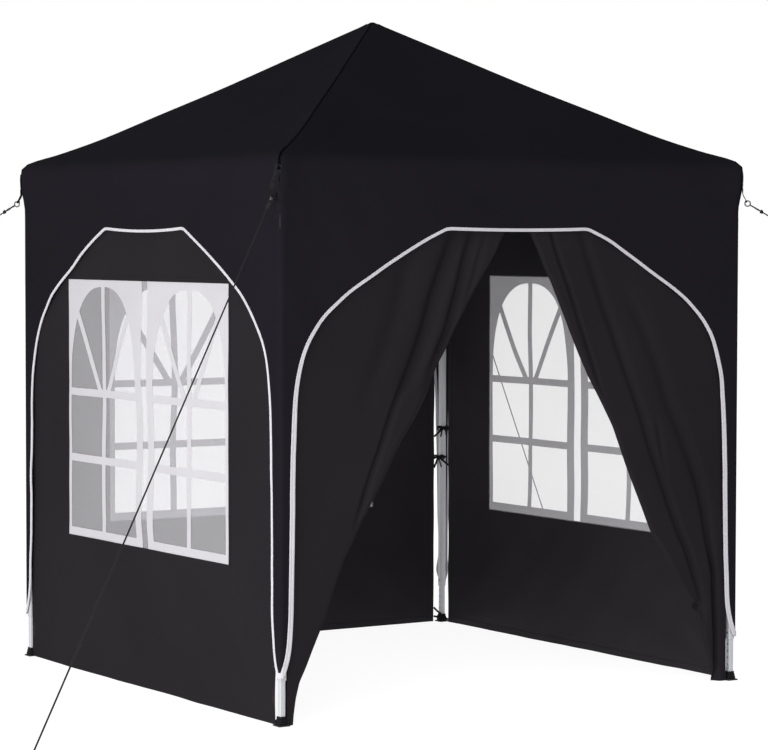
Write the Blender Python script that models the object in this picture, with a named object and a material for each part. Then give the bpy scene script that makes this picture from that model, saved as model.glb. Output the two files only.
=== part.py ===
"""Pop-up party tent, 2 m square, with three window walls and a zipped door.

Metres, +Z up. The origin is on the ground at the middle of the tent. The door
faces -Y, the window walls are on the left (-X), the right (+X) and the back (+Y).
Every side is drawn as the front one: h runs along the side, d is the distance
out from the middle of the tent, and the piece is then turned about Z.
"""
import math

import bmesh
import bpy
from mathutils import Matrix, Vector
from mathutils.geometry import interpolate_bezier

GAP = 0.0003            # left between pieces that touch
PAST = 0.01             # how far a cutter runs past what it cuts

# Frame
LEG_AT = 0.970          # leg centre, from the middle, along X and along Y
TUBE = 0.025            # outer leg, square
TUBE_WALL = 0.0015
INNER_TUBE = 0.020      # lower leg, square, slides in the outer leg
UPPER_LEG_FOOT = 0.155  # height of the outer leg's open end
LOWER_LEG_TOP = 0.520
BRACKET = 0.037         # corner bracket, square
BRACKET_AT = 0.9635
SLIDER = 0.040
SLIDER_AT = 0.965
BRACKET_HEIGHT = 0.058
BRACKET_TOP = 1.890
SLIDER_HEIGHT = 0.044
UPPER_PIVOT = 1.862
LOWER_PIVOT = 1.702
BAR_WIDTH = 0.018
BAR_THICKNESS = 0.008
BAR_LAYERS = (0.9535, 0.9620)
RIVET_RADIUS = 0.005
RIVET_HEAD = 0.002
KNUCKLE = 0.016         # half size of the joint between two scissor pairs
HUB_RADIUS = 0.030
POLE_RADIUS = 0.0125
POLE_TOP = 2.445
CAP_RADIUS = 0.030      # padded cap under the peak of the roof
CAP_TIP_RADIUS = 0.008
CAP_HEIGHT = 0.040
FOOT = 0.044
FOOT_THICKNESS = 0.005

# Cover
SKIN_OUT = 0.9900       # outer face of the hanging cover
CLOTH = 0.0025
SKIN_IN = SKIN_OUT - CLOTH
EAVE_SPLIT = 1.885      # where the roof meets the four arched sides
ROOF_PROFILE = (        # half width and height of the roof's outer face, peak to eave
    (0.006, 2.464),
    (0.030, 2.450),
    (0.424, 2.217),
    (0.764, 2.027),
    (0.884, 1.970),
    (0.950, 1.940),
    (0.978, 1.920),
    (0.989, 1.903),
    (0.992, EAVE_SPLIT),
)
TAPE_WIDTH = 0.022
TAPE_THICKNESS = 0.0025
ARCH_TOP = 1.672
ARCH_FLAT = 0.285       # half length of the arch's level top
ARCH_BEND = (0.308, 1.670)
SHOULDER = ((0.330, 1.663), (0.700, 1.468), (0.860, 1.372), (0.925, 1.240), (0.933, 0.966))
ARCH_FOOT = ((0.942, 0.450), (0.944, 0.330), (0.950, 0.235), (0.977, 0.180))
STRIP_TIP = 0.168

# Walls and door
WALL_OUT = 0.9800
WALL_IN = WALL_OUT - CLOTH
WALL_HALF = 0.930
WALL_TOP = 1.745
BAND_HEIGHT = 0.045     # strip that fastens a wall to the cover
HEM = 0.008
WINDOW_HALF = 0.620
WINDOW_SILL = 0.513
WINDOW_HEAD = 1.488
PANE = 0.0015
CURTAIN_OUTER = 0.942
LEFT_FREE_EDGE = (      # how far the door's left half reaches, and at what height
    (0.020, 1.745),
    (0.059, 1.650),
    (0.248, 1.309),
    (0.435, 0.983),
    (0.606, 0.714),
    (0.719, 0.507),
    (0.818, 0.305),
    (0.886, 0.167),
    (0.913, 0.084),
    (0.922, HEM),
)
RIGHT_FREE_EDGE = (
    (0.016, 1.745),
    (0.049, 1.650),
    (0.164, 1.427),
    (0.271, 1.210),
    (0.398, 0.991),
    (0.531, 0.694),
    (0.733, 0.371),
    (0.800, 0.284),
    (0.835, 0.159),
    (0.870, HEM),
)
CURTAIN_THIN = 0.004
CURTAIN_BUNDLE = 0.040  # depth of the gathered cloth near the ground

# Guy ropes, in the planes through opposite corners; r is the distance from the middle
RING_R = 1.436
RING_Z = 1.780
RING_RADIUS = 0.010
RING_WIRE = 0.0025
STRAP_WIDTH = 0.025
STRAP_THICKNESS = 0.003
STRAP_TOP = 1.878
STRAP_AT_RING = 120     # degrees round the ring, from its outer side, where the strap holds it
ROPE_RADIUS = 0.0025
ROPE_SLOPE = 0.591
ROPE_END_Z = 0.045
PEG_RADIUS = 0.004
PEG_HEIGHT = 0.075
PEG_LEAN = 0.018
PEG_HOOK = 0.024
PEG_CLEARANCE = 0.0018  # between the rope's end and the peg

SIDES = {"front": 0, "right": 90, "back": 180, "left": 270}
CORNERS = {
    "front_left": (-1, -1),
    "front_right": (1, -1),
    "back_right": (1, 1),
    "back_left": (-1, 1),
}


def clear_scene():
    """Empties the scene, so that a second run gives the same model."""
    for item in list(bpy.data.objects):
        bpy.data.objects.remove(item, do_unlink=True)


def finish(name, colour, roughness, metallic=0.0, alpha=1.0):
    """One Principled material."""
    material = bpy.data.materials.new(name)
    material.use_nodes = True
    shader = material.node_tree.nodes["Principled BSDF"]
    shader.inputs["Base Color"].default_value = (*colour, 1.0)
    shader.inputs["Roughness"].default_value = roughness
    shader.inputs["Metallic"].default_value = metallic
    shader.inputs["Alpha"].default_value = alpha
    return material


def place(name, mesh, material, turn=0.0):
    """Adds a finished mesh to the scene as one named piece."""
    piece = bpy.data.objects.new(name, mesh)
    bpy.context.collection.objects.link(piece)
    if material:
        piece.data.materials.clear()
        piece.data.materials.append(material.copy())
    piece.rotation_euler.z = math.radians(turn)
    return piece


def to_mesh(name, shape):
    """Turns a bmesh into a mesh whose faces point outwards."""
    bmesh.ops.recalc_face_normals(shape, faces=shape.faces)
    mesh = bpy.data.meshes.new(name)
    shape.to_mesh(mesh)
    shape.free()
    return mesh


def block(low, high):
    """A box between two corners."""
    low = Vector(low)
    high = Vector(high)
    shape = bmesh.new()
    bmesh.ops.create_cube(shape, size=1.0)
    bmesh.ops.scale(shape, vec=high - low, verts=shape.verts)
    bmesh.ops.translate(shape, vec=(low + high) / 2, verts=shape.verts)
    return to_mesh("block", shape)


def rod(start, end, radius, sides=8, end_radius=None):
    """A straight round bar, or a cone, from start to end."""
    start = Vector(start)
    along = Vector(end) - start
    shape = bmesh.new()
    bmesh.ops.create_cone(
        shape, cap_ends=True, segments=sides, radius1=radius,
        radius2=radius if end_radius is None else end_radius, depth=along.length)
    turn = along.to_track_quat("Z", "Y").to_matrix().to_4x4()
    bmesh.ops.transform(shape, matrix=Matrix.Translation(start + along / 2) @ turn, verts=shape.verts)
    return to_mesh("rod", shape)


def bar(start, end, width, low_d, high_d):
    """A flat bar of a truss between two (h, z) points, with upright ends."""
    start = Vector(start)
    end = Vector(end)
    along = (end - start).normalized()
    across = Vector((0, width / 2 / abs(along.x)))
    outline = [start + across, end + across, end - across, start - across]
    return slab(outline, low_d, high_d)


def slab(outline, low_d, high_d, mitre=False):
    """An outline of (h, z) points with a thickness from d = low_d to high_d."""
    shape = bmesh.new()
    layers = []
    for d in (high_d, low_d):
        limit = d - GAP if mitre else math.inf
        layers.append([shape.verts.new((max(-limit, min(limit, h)), -d, z)) for h, z in outline])
    shape.faces.new(layers[0])
    shape.faces.new(reversed(layers[1]))
    count = len(outline)
    for i in range(count):
        j = (i + 1) % count
        shape.faces.new((layers[0][i], layers[1][i], layers[1][j], layers[0][j]))
    bmesh.ops.triangulate(shape, faces=[face for face in shape.faces if len(face.verts) > 4])
    return to_mesh("slab", shape)


def combine(meshes, operation="UNION"):
    """Joins meshes into one closed body, or cuts the later ones out of the first."""
    pieces = [place("work", mesh, None) for mesh in meshes]
    base = pieces[0]
    for other in pieces[1:]:
        step = base.modifiers.new("step", "BOOLEAN")
        step.operation = operation
        step.object = other
        step.solver = "EXACT"
    bpy.context.view_layer.update()
    evaluated = base.evaluated_get(bpy.context.evaluated_depsgraph_get())
    result = bpy.data.meshes.new_from_object(evaluated)
    for piece in pieces:
        bpy.data.objects.remove(piece, do_unlink=True)
    shape = bmesh.new()
    shape.from_mesh(result)
    bmesh.ops.remove_doubles(shape, verts=shape.verts, dist=1e-6)
    bmesh.ops.dissolve_limit(
        shape, angle_limit=math.radians(0.05), verts=shape.verts, edges=shape.edges)
    bmesh.ops.triangulate(shape, faces=shape.faces)
    return to_mesh("combined", shape)


def corner_point(corner, r, z):
    """A point in a corner's diagonal plane, r from the middle."""
    x, y = CORNERS[corner]
    return Vector((x * r / math.sqrt(2), y * r / math.sqrt(2), z))


def arch_path():
    """The middle of the tape round an arch, as (h, z), from the left tip to the right tip."""
    half = [(ARCH_FLAT, ARCH_TOP), ARCH_BEND, SHOULDER[0]]
    curves = ((SHOULDER[1:], 12), (ARCH_FOOT, 8))
    for controls, count in curves:
        points = interpolate_bezier(*[(*point, 0.0) for point in controls], count)
        half.extend((point[0], point[1]) for point in points)
    return [(-h, z) for h, z in reversed(half)] + half


def offset_path(path, distance):
    """The same path moved sideways by a distance, mitred at its bends."""
    moved = []
    for i, point in enumerate(path):
        before = Vector(path[max(i - 1, 0)])
        after = Vector(path[min(i + 1, len(path) - 1)])
        here = Vector(point)
        directions = [step.normalized() for step in (here - before, after - here) if step.length > 0]
        along = sum(directions, Vector((0, 0))).normalized()
        spread = distance / max(along.dot(directions[0]), 0.5)
        moved.append(here + Vector((-along.y, along.x)) * spread)
    return moved


def build_legs(frame_paint, black_plastic):
    """Outer legs, lower legs, feet, corner brackets and sliders."""
    half = TUBE / 2
    bore = half - TUBE_WALL
    inner = INNER_TUBE / 2
    bracket = BRACKET / 2
    bracket_foot = BRACKET_TOP - BRACKET_HEIGHT
    for corner, (sx, sy) in CORNERS.items():
        def around(reach, low, high, at=LEG_AT):
            x = sx * at
            y = sy * at
            return block((x - reach, y - reach, low), (x + reach, y + reach, high))

        leg_top = bracket_foot - GAP
        outer = around(half, UPPER_LEG_FOOT, leg_top)
        hollow = around(bore, UPPER_LEG_FOOT - PAST, leg_top + PAST)
        place(corner + "_upper_leg", combine([outer, hollow], "DIFFERENCE"), frame_paint)
        place(corner + "_lower_leg", around(inner, FOOT_THICKNESS + GAP, LOWER_LEG_TOP), frame_paint)
        place(corner + "_foot", around(FOOT / 2, 0.0, FOOT_THICKNESS), black_plastic)
        place(corner + "_bracket", around(bracket, bracket_foot, BRACKET_TOP, BRACKET_AT), black_plastic)
        low = LOWER_PIVOT - SLIDER_HEIGHT / 2
        collar = around(SLIDER / 2, low, low + SLIDER_HEIGHT, SLIDER_AT)
        passage = around(half + GAP, low - PAST, low + SLIDER_HEIGHT + PAST)
        place(corner + "_slider", combine([collar, passage], "DIFFERENCE"), black_plastic)


def scissor(start, end, layers):
    """One scissor pair between two upright lines, as meshes that overlap at the rivet."""
    a, b = layers
    middle = (start + end) / 2
    height = (UPPER_PIVOT + LOWER_PIVOT) / 2
    near = -a - RIVET_HEAD
    far = -b - BAR_THICKNESS + RIVET_HEAD
    return [
        bar((start, UPPER_PIVOT), (end, LOWER_PIVOT), BAR_WIDTH, a, a + BAR_THICKNESS),
        bar((start, LOWER_PIVOT), (end, UPPER_PIVOT), BAR_WIDTH, b, b + BAR_THICKNESS),
        rod((middle, near, height), (middle, far, height), RIVET_RADIUS),
    ]


def build_trusses(frame_paint):
    """The folding lattice: two scissor pairs on each side, and one from each side to the middle."""
    a, b = BAR_LAYERS
    end = BRACKET_AT - BRACKET / 2 - GAP
    for side, turn in SIDES.items():
        parts = []
        for joint_z in (UPPER_PIVOT, LOWER_PIVOT):
            parts.append(block((-KNUCKLE, -b - BAR_THICKNESS, joint_z - KNUCKLE),
                               (KNUCKLE, -a, joint_z + KNUCKLE)))
        parts += scissor(-end, -KNUCKLE / 2, (a, b))
        parts += scissor(end, KNUCKLE / 2, (a, b))
        place(side + "_truss", combine(parts), frame_paint, turn)

    hubs = []
    for joint_z in (UPPER_PIVOT, LOWER_PIVOT):
        hubs.append(rod((0, 0, joint_z - KNUCKLE), (0, 0, joint_z + KNUCKLE), HUB_RADIUS, 16))
    arms = []
    reach = a - GAP
    for turn in SIDES.values():
        for mesh in scissor(reach, HUB_RADIUS - RIVET_RADIUS, (-BAR_THICKNESS - GAP, GAP)):
            mesh.transform(Matrix.Rotation(math.radians(turn), 4, "Z"))
            arms.append(mesh)
    place("cross_truss", combine(hubs + arms), frame_paint)

    top = UPPER_PIVOT + KNUCKLE + GAP
    pole = rod((0, 0, top), (0, 0, POLE_TOP - CAP_HEIGHT / 2), POLE_RADIUS, 12)
    cap = rod((0, 0, POLE_TOP - CAP_HEIGHT), (0, 0, POLE_TOP), CAP_RADIUS, 16, CAP_TIP_RADIUS)
    place("peak_pole", combine([pole, cap]), frame_paint)


def bridge(shape, ring, other):
    """Faces between two rings of the same length."""
    count = len(ring)
    for i in range(count):
        j = (i + 1) % count
        shape.faces.new((ring[i], ring[j], other[j], other[i]))


def roof_lines():
    """The roof's outer and inner face in section, as (d, z) from the peak to the eave."""
    outer = [Vector(point) for point in ROOF_PROFILE]
    inner = []
    for i, here in enumerate(outer):
        before = outer[max(i - 1, 0)]
        after = outer[min(i + 1, len(outer) - 1)]
        along = (after - before).normalized()
        inner.append(here + Vector((along.y, -along.x)) * CLOTH)
    inner[-1].y = EAVE_SPLIT
    return outer, inner


def build_roof(cloth):
    """Four slopes of cloth, mitred along the hips, each with its share of the rounded eave."""
    for side, turn in SIDES.items():
        shape = bmesh.new()
        rings = []
        for out, back in zip(*roof_lines()):
            points = ((-1, out), (1, out), (1, back), (-1, back))
            rings.append([shape.verts.new((sign * (at.x - GAP), -at.x, at.y)) for sign, at in points])
        for ring, other in zip(rings, rings[1:]):
            bridge(shape, ring, other)
        shape.faces.new(rings[0])
        shape.faces.new(rings[-1])
        place(side + "_roof", to_mesh("roof", shape), cloth, turn)


def build_sides(cloth, tape_cloth):
    """The hanging cover with its arch, and the pale tape round the arch, on each side."""
    path = arch_path()
    edge = [(point.x, point.y) for point in offset_path(path, -TAPE_WIDTH / 2 + 0.001)]
    top = EAVE_SPLIT - GAP
    corner = SKIN_OUT
    outline = [(-corner, top), (-corner, STRIP_TIP), *edge, (corner, STRIP_TIP), (corner, top)]
    outer = offset_path(path, TAPE_WIDTH / 2)
    inner = offset_path(path, -TAPE_WIDTH / 2)
    near = SKIN_OUT + GAP
    for side, turn in SIDES.items():
        place(side + "_skirt", slab(outline, SKIN_IN, SKIN_OUT, mitre=True), cloth, turn)
        band = [tuple(point) for point in outer] + [tuple(point) for point in reversed(inner)]
        place(side + "_arch_tape", slab(band, near, near + TAPE_THICKNESS, mitre=True), tape_cloth, turn)


def build_walls(cloth, pane_film):
    """The three window walls, each with its clear pane."""
    for side in ("left", "back", "right"):
        turn = SIDES[side]
        sheet = block((-WALL_HALF, -WALL_OUT, HEM), (WALL_HALF, -WALL_IN, WALL_TOP))
        band = block((-WALL_HALF, -SKIN_IN + GAP, WALL_TOP - BAND_HEIGHT), (WALL_HALF, -WALL_IN, WALL_TOP))
        hole = block((-WINDOW_HALF, -WALL_OUT - PAST, WINDOW_SILL),
                     (WINDOW_HALF, -WALL_IN + PAST, WINDOW_HEAD))
        wall = combine([combine([sheet, band]), hole], "DIFFERENCE")
        place(side + "_wall", wall, cloth, turn)
        middle = (WALL_OUT + WALL_IN) / 2
        pane = block((-WINDOW_HALF + GAP, -middle - PANE / 2, WINDOW_SILL + GAP),
                     (WINDOW_HALF - GAP, -middle + PANE / 2, WINDOW_HEAD - GAP))
        place(side + "_window", pane, pane_film, turn)


def build_curtains(cloth):
    """The two halves of the door, drawn aside and gathered towards the feet of the front legs."""
    halves = (("left_curtain", -1, LEFT_FREE_EDGE), ("right_curtain", 1, RIGHT_FREE_EDGE))
    for name, sign, free_edge in halves:
        shape = bmesh.new()
        rings = []
        for reach, z in free_edge:
            gathered = 1 - (CURTAIN_OUTER - reach) / CURTAIN_OUTER
            depth = CURTAIN_THIN + (CURTAIN_BUNDLE - CURTAIN_THIN) * gathered ** 2
            near = -WALL_OUT
            far = near + depth
            corners = ((CURTAIN_OUTER, near), (reach, near), (reach, far), (CURTAIN_OUTER, far))
            rings.append([shape.verts.new((sign * x, y, z)) for x, y in corners])
        for ring, other in zip(rings, rings[1:]):
            bridge(shape, ring, other)
        shape.faces.new(rings[0])
        shape.faces.new(rings[-1])
        sheet = to_mesh("sheet", shape)
        low = min(sign * 0.020, sign * CURTAIN_OUTER)
        high = max(sign * 0.020, sign * CURTAIN_OUTER)
        band = block((low, -SKIN_IN + GAP, WALL_TOP - BAND_HEIGHT), (high, -WALL_OUT + 0.002, WALL_TOP))
        place(name, combine([sheet, band]), cloth)


def ring_mesh(centre, normal, radius, wire, around=16, section=6):
    """A closed metal ring."""
    shape = bmesh.new()
    turn = Vector(normal).to_track_quat("Z", "Y").to_matrix()
    rings = []
    for i in range(around):
        angle = 2 * math.pi * i / around
        loop = []
        for j in range(section):
            bend = 2 * math.pi * j / section
            out = radius + wire * math.cos(bend)
            point = Vector((out * math.cos(angle), out * math.sin(angle), wire * math.sin(bend)))
            loop.append(shape.verts.new(Vector(centre) + turn @ point))
        rings.append(loop)
    for i in range(around):
        bridge(shape, rings[i], rings[(i + 1) % around])
    return to_mesh("ring", shape)


def build_guys(webbing, rope, peg_metal):
    """A strap with a ring at each corner, its rope and its peg."""
    slope = math.atan(ROPE_SLOPE)
    down = Vector((math.cos(slope), -math.sin(slope)))
    ring_at = Vector((RING_R, RING_Z))
    rope_top = ring_at + down * (RING_RADIUS + RING_WIRE + GAP)
    rope_end = rope_top + down * (rope_top.y - ROPE_END_Z) / math.sin(slope)
    peg_r = rope_end.x + PEG_RADIUS + PEG_CLEARANCE
    hold = math.radians(STRAP_AT_RING)
    strap_end = ring_at + Vector((math.cos(hold), math.sin(hold))) * RING_RADIUS
    strap_end.x -= STRAP_THICKNESS / 2
    strap_top = Vector((math.sqrt(2) * SKIN_OUT + GAP, STRAP_TOP))
    across = Vector((STRAP_THICKNESS, 0))
    strap_outline = [strap_top, strap_end, strap_end + across, strap_top + across]
    for corner, (sx, sy) in CORNERS.items():
        out = Vector((sx, sy, 0)).normalized()
        side = Vector((-out.y, out.x, 0))
        strap = slab(strap_outline, -STRAP_WIDTH / 2, STRAP_WIDTH / 2)
        strap.transform(Matrix.Rotation(math.atan2(sy, sx), 4, "Z"))
        ring = ring_mesh(corner_point(corner, *ring_at), side, RING_RADIUS, RING_WIRE)
        place(corner + "_guy_ring", combine([strap, ring]), webbing)

        top = corner_point(corner, *rope_top)
        place(corner + "_guy_rope", rod(top, corner_point(corner, *rope_end), ROPE_RADIUS), rope)

        foot = corner_point(corner, peg_r - PEG_LEAN * ROPE_END_Z / PEG_HEIGHT, 0)
        head = foot + out * PEG_LEAN + Vector((0, 0, PEG_HEIGHT))
        peg = rod(foot - (head - foot) / 10, head, PEG_RADIUS)
        bend = head - Vector((0, 0, PEG_RADIUS))
        hook = rod(bend, bend + out * PEG_HOOK, PEG_RADIUS)
        ground = block((foot.x - 0.1, foot.y - 0.1, -0.1), (foot.x + 0.1, foot.y + 0.1, 0))
        place(corner + "_peg", combine([combine([peg, hook]), ground], "DIFFERENCE"), peg_metal)


def main():
    clear_scene()
    cloth = finish("black polyester", (0.011, 0.010, 0.012), 0.75)
    wall_cloth = finish("black wall polyester", (0.022, 0.020, 0.022), 0.8)
    tape_cloth = finish("pale edge tape", (0.62, 0.60, 0.63), 0.7)
    frame_paint = finish("white powder coat", (0.70, 0.71, 0.73), 0.4, 0.2)
    black_plastic = finish("black plastic", (0.010, 0.010, 0.011), 0.5)
    pane_film = finish("clear film", (0.80, 0.80, 0.82), 0.15, 0.0, 0.5)
    webbing = finish("black webbing", (0.010, 0.010, 0.011), 0.7)
    rope = finish("dark rope", (0.020, 0.020, 0.024), 0.8)
    peg_metal = finish("steel peg", (0.35, 0.35, 0.36), 0.4, 1.0)
    build_legs(frame_paint, black_plastic)
    build_trusses(frame_paint)
    build_roof(cloth)
    build_sides(cloth, tape_cloth)
    build_walls(wall_cloth, pane_film)
    build_curtains(wall_cloth)
    build_guys(webbing, rope, peg_metal)


main()
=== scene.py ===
"""Looks of a square pop-up party tent: cover, window walls, drawn-back door, frame, ties and guy ropes.

Laid out as an add-on and run as a script. Metres, +Z up. The door faces -Y and the window walls
are on the left (-X), the right (+X) and the back (+Y). Every side is drawn as the front one: h runs
along the side, d is the distance out from the middle of the tent, and lift is the distance that a
point stands proud of the cloth. The drawn side is then turned about Z.
"""

import math
from contextlib import contextmanager

import bmesh
import bpy
import numpy as np
from bpy.props import FloatProperty, FloatVectorProperty, IntProperty, PointerProperty
from mathutils import Matrix, Vector
from mathutils.geometry import delaunay_2d_cdt


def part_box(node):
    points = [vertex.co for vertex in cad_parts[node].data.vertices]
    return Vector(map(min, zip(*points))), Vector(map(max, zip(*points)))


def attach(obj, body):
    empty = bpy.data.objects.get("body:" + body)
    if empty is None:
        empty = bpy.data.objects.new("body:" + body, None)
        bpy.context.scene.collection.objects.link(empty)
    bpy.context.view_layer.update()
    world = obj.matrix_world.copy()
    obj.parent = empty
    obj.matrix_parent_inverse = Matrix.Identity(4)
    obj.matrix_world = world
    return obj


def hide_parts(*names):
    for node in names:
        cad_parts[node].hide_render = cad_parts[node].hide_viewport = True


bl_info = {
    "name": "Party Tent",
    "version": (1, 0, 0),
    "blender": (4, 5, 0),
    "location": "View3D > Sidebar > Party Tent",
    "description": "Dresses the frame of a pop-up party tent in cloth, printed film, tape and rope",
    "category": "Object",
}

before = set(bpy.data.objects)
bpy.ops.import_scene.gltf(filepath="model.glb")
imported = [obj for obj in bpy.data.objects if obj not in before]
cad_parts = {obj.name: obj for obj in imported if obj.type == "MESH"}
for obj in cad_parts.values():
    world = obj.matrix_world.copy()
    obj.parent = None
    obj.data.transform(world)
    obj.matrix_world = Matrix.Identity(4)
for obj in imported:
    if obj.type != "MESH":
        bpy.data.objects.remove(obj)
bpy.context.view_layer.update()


# Sides and corners
TURNS = {"front": 0, "right": 90, "back": 180, "left": 270}
CORNERS = {
    "front_left": (-1, -1),
    "front_right": (1, -1),
    "back_right": (1, 1),
    "back_left": (-1, 1),
}
WALL_SIDES = ("left", "back", "right")


# Sizes that the frame gives
SKIN = -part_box("front_skirt")[0].y
STRIP_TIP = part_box("front_skirt")[0].z
EAVE_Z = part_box("front_roof")[0].z
EAVE_HALF = -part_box("front_roof")[0].y
WALL_ENDS = {"left": (0.9565, 0.940), "back": (0.932, 0.931), "right": (0.919, 0.928)}   # at -h and at +h
WALL_FOOT = 0.0015
WALL_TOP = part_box("back_wall")[1].z
WALL_D = (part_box("back_window")[0].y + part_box("back_window")[1].y) / 2
WINDOW_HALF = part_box("back_window")[1].x
WINDOW_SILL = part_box("back_window")[0].z
WINDOW_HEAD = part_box("back_window")[1].z
DOOR_OUTER = {-1: 0.955, 1: 0.942}
TIED_ENDS = {             # where the cloth along X and the cloth along Y end beside each leg
    "front_left": (DOOR_OUTER[-1], WALL_ENDS["left"][1]),
    "front_right": (DOOR_OUTER[1], WALL_ENDS["right"][0]),
    "back_right": (WALL_ENDS["back"][0], WALL_ENDS["right"][1]),
    "back_left": (WALL_ENDS["back"][1], WALL_ENDS["left"][0]),
}
LEG_AT = (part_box("front_right_foot")[0].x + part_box("front_right_foot")[1].x) / 2


# Cover
HIP_LINE = (              # half width and height of the roof, from the peak to the eave
    (0.006, 2.464), (0.030, 2.450), (0.120, 2.397), (0.240, 2.326), (0.424, 2.217),
    (0.600, 2.119), (0.764, 2.027), (0.884, 1.970), (0.950, 1.943), (0.980, 1.926),
    (0.991, 1.908), (EAVE_HALF, EAVE_Z),
)
CORNER_ROUND = 0.019      # how softly the cloth turns round a leg
NEAR_ARCH = (             # half an arch beside the front left corner: distance from the middle, height
    (0.296, 1.679), (0.314, 1.678), (0.332, 1.673), (0.402, 1.640), (0.472, 1.604), (0.534, 1.570),
    (0.594, 1.536), (0.651, 1.502), (0.704, 1.469), (0.750, 1.436), (0.815, 1.380), (0.862, 1.322),
    (0.891, 1.265), (0.913, 1.190), (0.926, 1.115), (0.932, 1.030), (0.935, 0.950), (0.938, 0.830),
    (0.940, 0.700), (0.942, 0.530), (0.945, 0.380), (0.951, 0.285), (0.961, 0.225), (0.977, 0.174),
)
FAR_ARCH = (              # half an arch beside any other corner
    (0.270, 1.679), (0.288, 1.678), (0.306, 1.673), (0.384, 1.639), (0.449, 1.602), (0.512, 1.565),
    (0.574, 1.527), (0.637, 1.490), (0.693, 1.455), (0.747, 1.417), (0.808, 1.358), (0.848, 1.303),
    (0.870, 1.256), (0.890, 1.197), (0.906, 1.120), (0.915, 1.030), (0.920, 0.940), (0.923, 0.845),
    (0.926, 0.750), (0.928, 0.660), (0.930, 0.565), (0.932, 0.470), (0.936, 0.380), (0.943, 0.285),
    (0.957, 0.222), (0.977, 0.174),
)
ARCHES = {                # left half, right half, dip of the top, and how far each half is drawn in
    "front": (NEAR_ARCH, FAR_ARCH, 0.004, (0.0, 0.0)),
    "right": (FAR_ARCH, FAR_ARCH, 0.006, (0.0, 0.026)),
    "back": (FAR_ARCH, FAR_ARCH, 0.007, (0.034, 0.0)),
    "left": (FAR_ARCH, NEAR_ARCH, 0.009, (0.0, 0.0)),
}
TAPE_SHARES = {           # width of the tape over an arch and beside it, in tape widths
    "front": (0.68, 1.15), "right": (0.62, 0.71), "back": (0.62, 0.71), "left": (0.62, 0.71),
}
STRAP_PULL_Z = 1.852      # height at which the guy straps draw the corners out
CREASE_FADE = 0.16        # how far the strap's creases reach
RING_SHIFT = {"front_left": (-0.006, 0.030, 0.0)}   # this ring hangs a little to the left of its corner


# Door: tables of heights and values, from the top down
LEFT_EDGE = (             # how far the free edge of the left half is from the middle
    (1.745, 0.026), (1.665, 0.068), (1.575, 0.117), (1.501, 0.171), (1.412, 0.226), (1.340, 0.270),
    (1.265, 0.309), (1.193, 0.353), (1.130, 0.383), (1.087, 0.403), (1.020, 0.443), (0.955, 0.491),
    (0.879, 0.534), (0.801, 0.575), (0.734, 0.618), (0.680, 0.653), (0.617, 0.687), (0.554, 0.725),
    (0.470, 0.762), (0.373, 0.799), (0.316, 0.823), (0.248, 0.856), (0.191, 0.882), (0.144, 0.907),
    (0.091, 0.921), (0.038, 0.929), (0.000, 0.932),
)
LEFT_ROLL = (             # how wide the soft roll of the free edge is
    (1.745, 0.012), (1.200, 0.030), (1.130, 0.060), (0.950, 0.070), (0.850, 0.056), (0.700, 0.040),
    (0.500, 0.025), (0.200, 0.012), (0.000, 0.006),
)
LEFT_FOLDS = (            # each fold: its places, its depths and its widths
    (((1.745, 0.268), (1.577, 0.332), (1.446, 0.386), (1.333, 0.420), (1.220, 0.467), (1.107, 0.521),
      (1.032, 0.553), (0.941, 0.586), (0.849, 0.624), (0.777, 0.651), (0.691, 0.678), (0.600, 0.704)),
     ((1.745, 0.002), (1.600, 0.014), (1.170, 0.015), (1.080, 0.008), (0.740, 0.007), (0.640, 0.000)),
     ((1.745, 0.024), (1.170, 0.020), (1.100, 0.009), (0.640, 0.008))),
    (((1.745, 0.190), (1.574, 0.247), (1.466, 0.276), (1.397, 0.301), (1.328, 0.322), (1.259, 0.357),
      (1.190, 0.385), (1.060, 0.440)),
     ((1.745, 0.002), (1.600, 0.012), (1.250, 0.014), (1.100, 0.000)),
     ((1.745, 0.018), (1.300, 0.014), (1.060, 0.014))),
    (((1.745, 0.120), (1.640, 0.163), (1.570, 0.188), (1.500, 0.209), (1.431, 0.236), (1.360, 0.262)),
     ((1.700, 0.000), (1.600, 0.004), (1.460, 0.005), (1.380, 0.000)),
     ((1.745, 0.010), (1.360, 0.010))),
    (((1.745, 0.470), (1.400, 0.540), (1.100, 0.660), (0.900, 0.740)),
     ((1.745, 0.004), (1.500, 0.006), (1.200, 0.004), (1.000, 0.000)),
     ((1.745, 0.035), (0.900, 0.025))),
)
RIGHT_EDGE = (
    (1.745, 0.016), (1.661, 0.054), (1.596, 0.088), (1.536, 0.116), (1.495, 0.140), (1.420, 0.175),
    (1.325, 0.219), (1.238, 0.263), (1.157, 0.307), (1.065, 0.364), (0.967, 0.421), (0.821, 0.484),
    (0.685, 0.547), (0.578, 0.595), (0.497, 0.658), (0.409, 0.713), (0.345, 0.756), (0.309, 0.788),
    (0.284, 0.811), (0.238, 0.824), (0.177, 0.845), (0.107, 0.862), (0.042, 0.884), (0.000, 0.896),
)
RIGHT_ROLL = ((1.745, 0.008), (0.000, 0.008))
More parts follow.
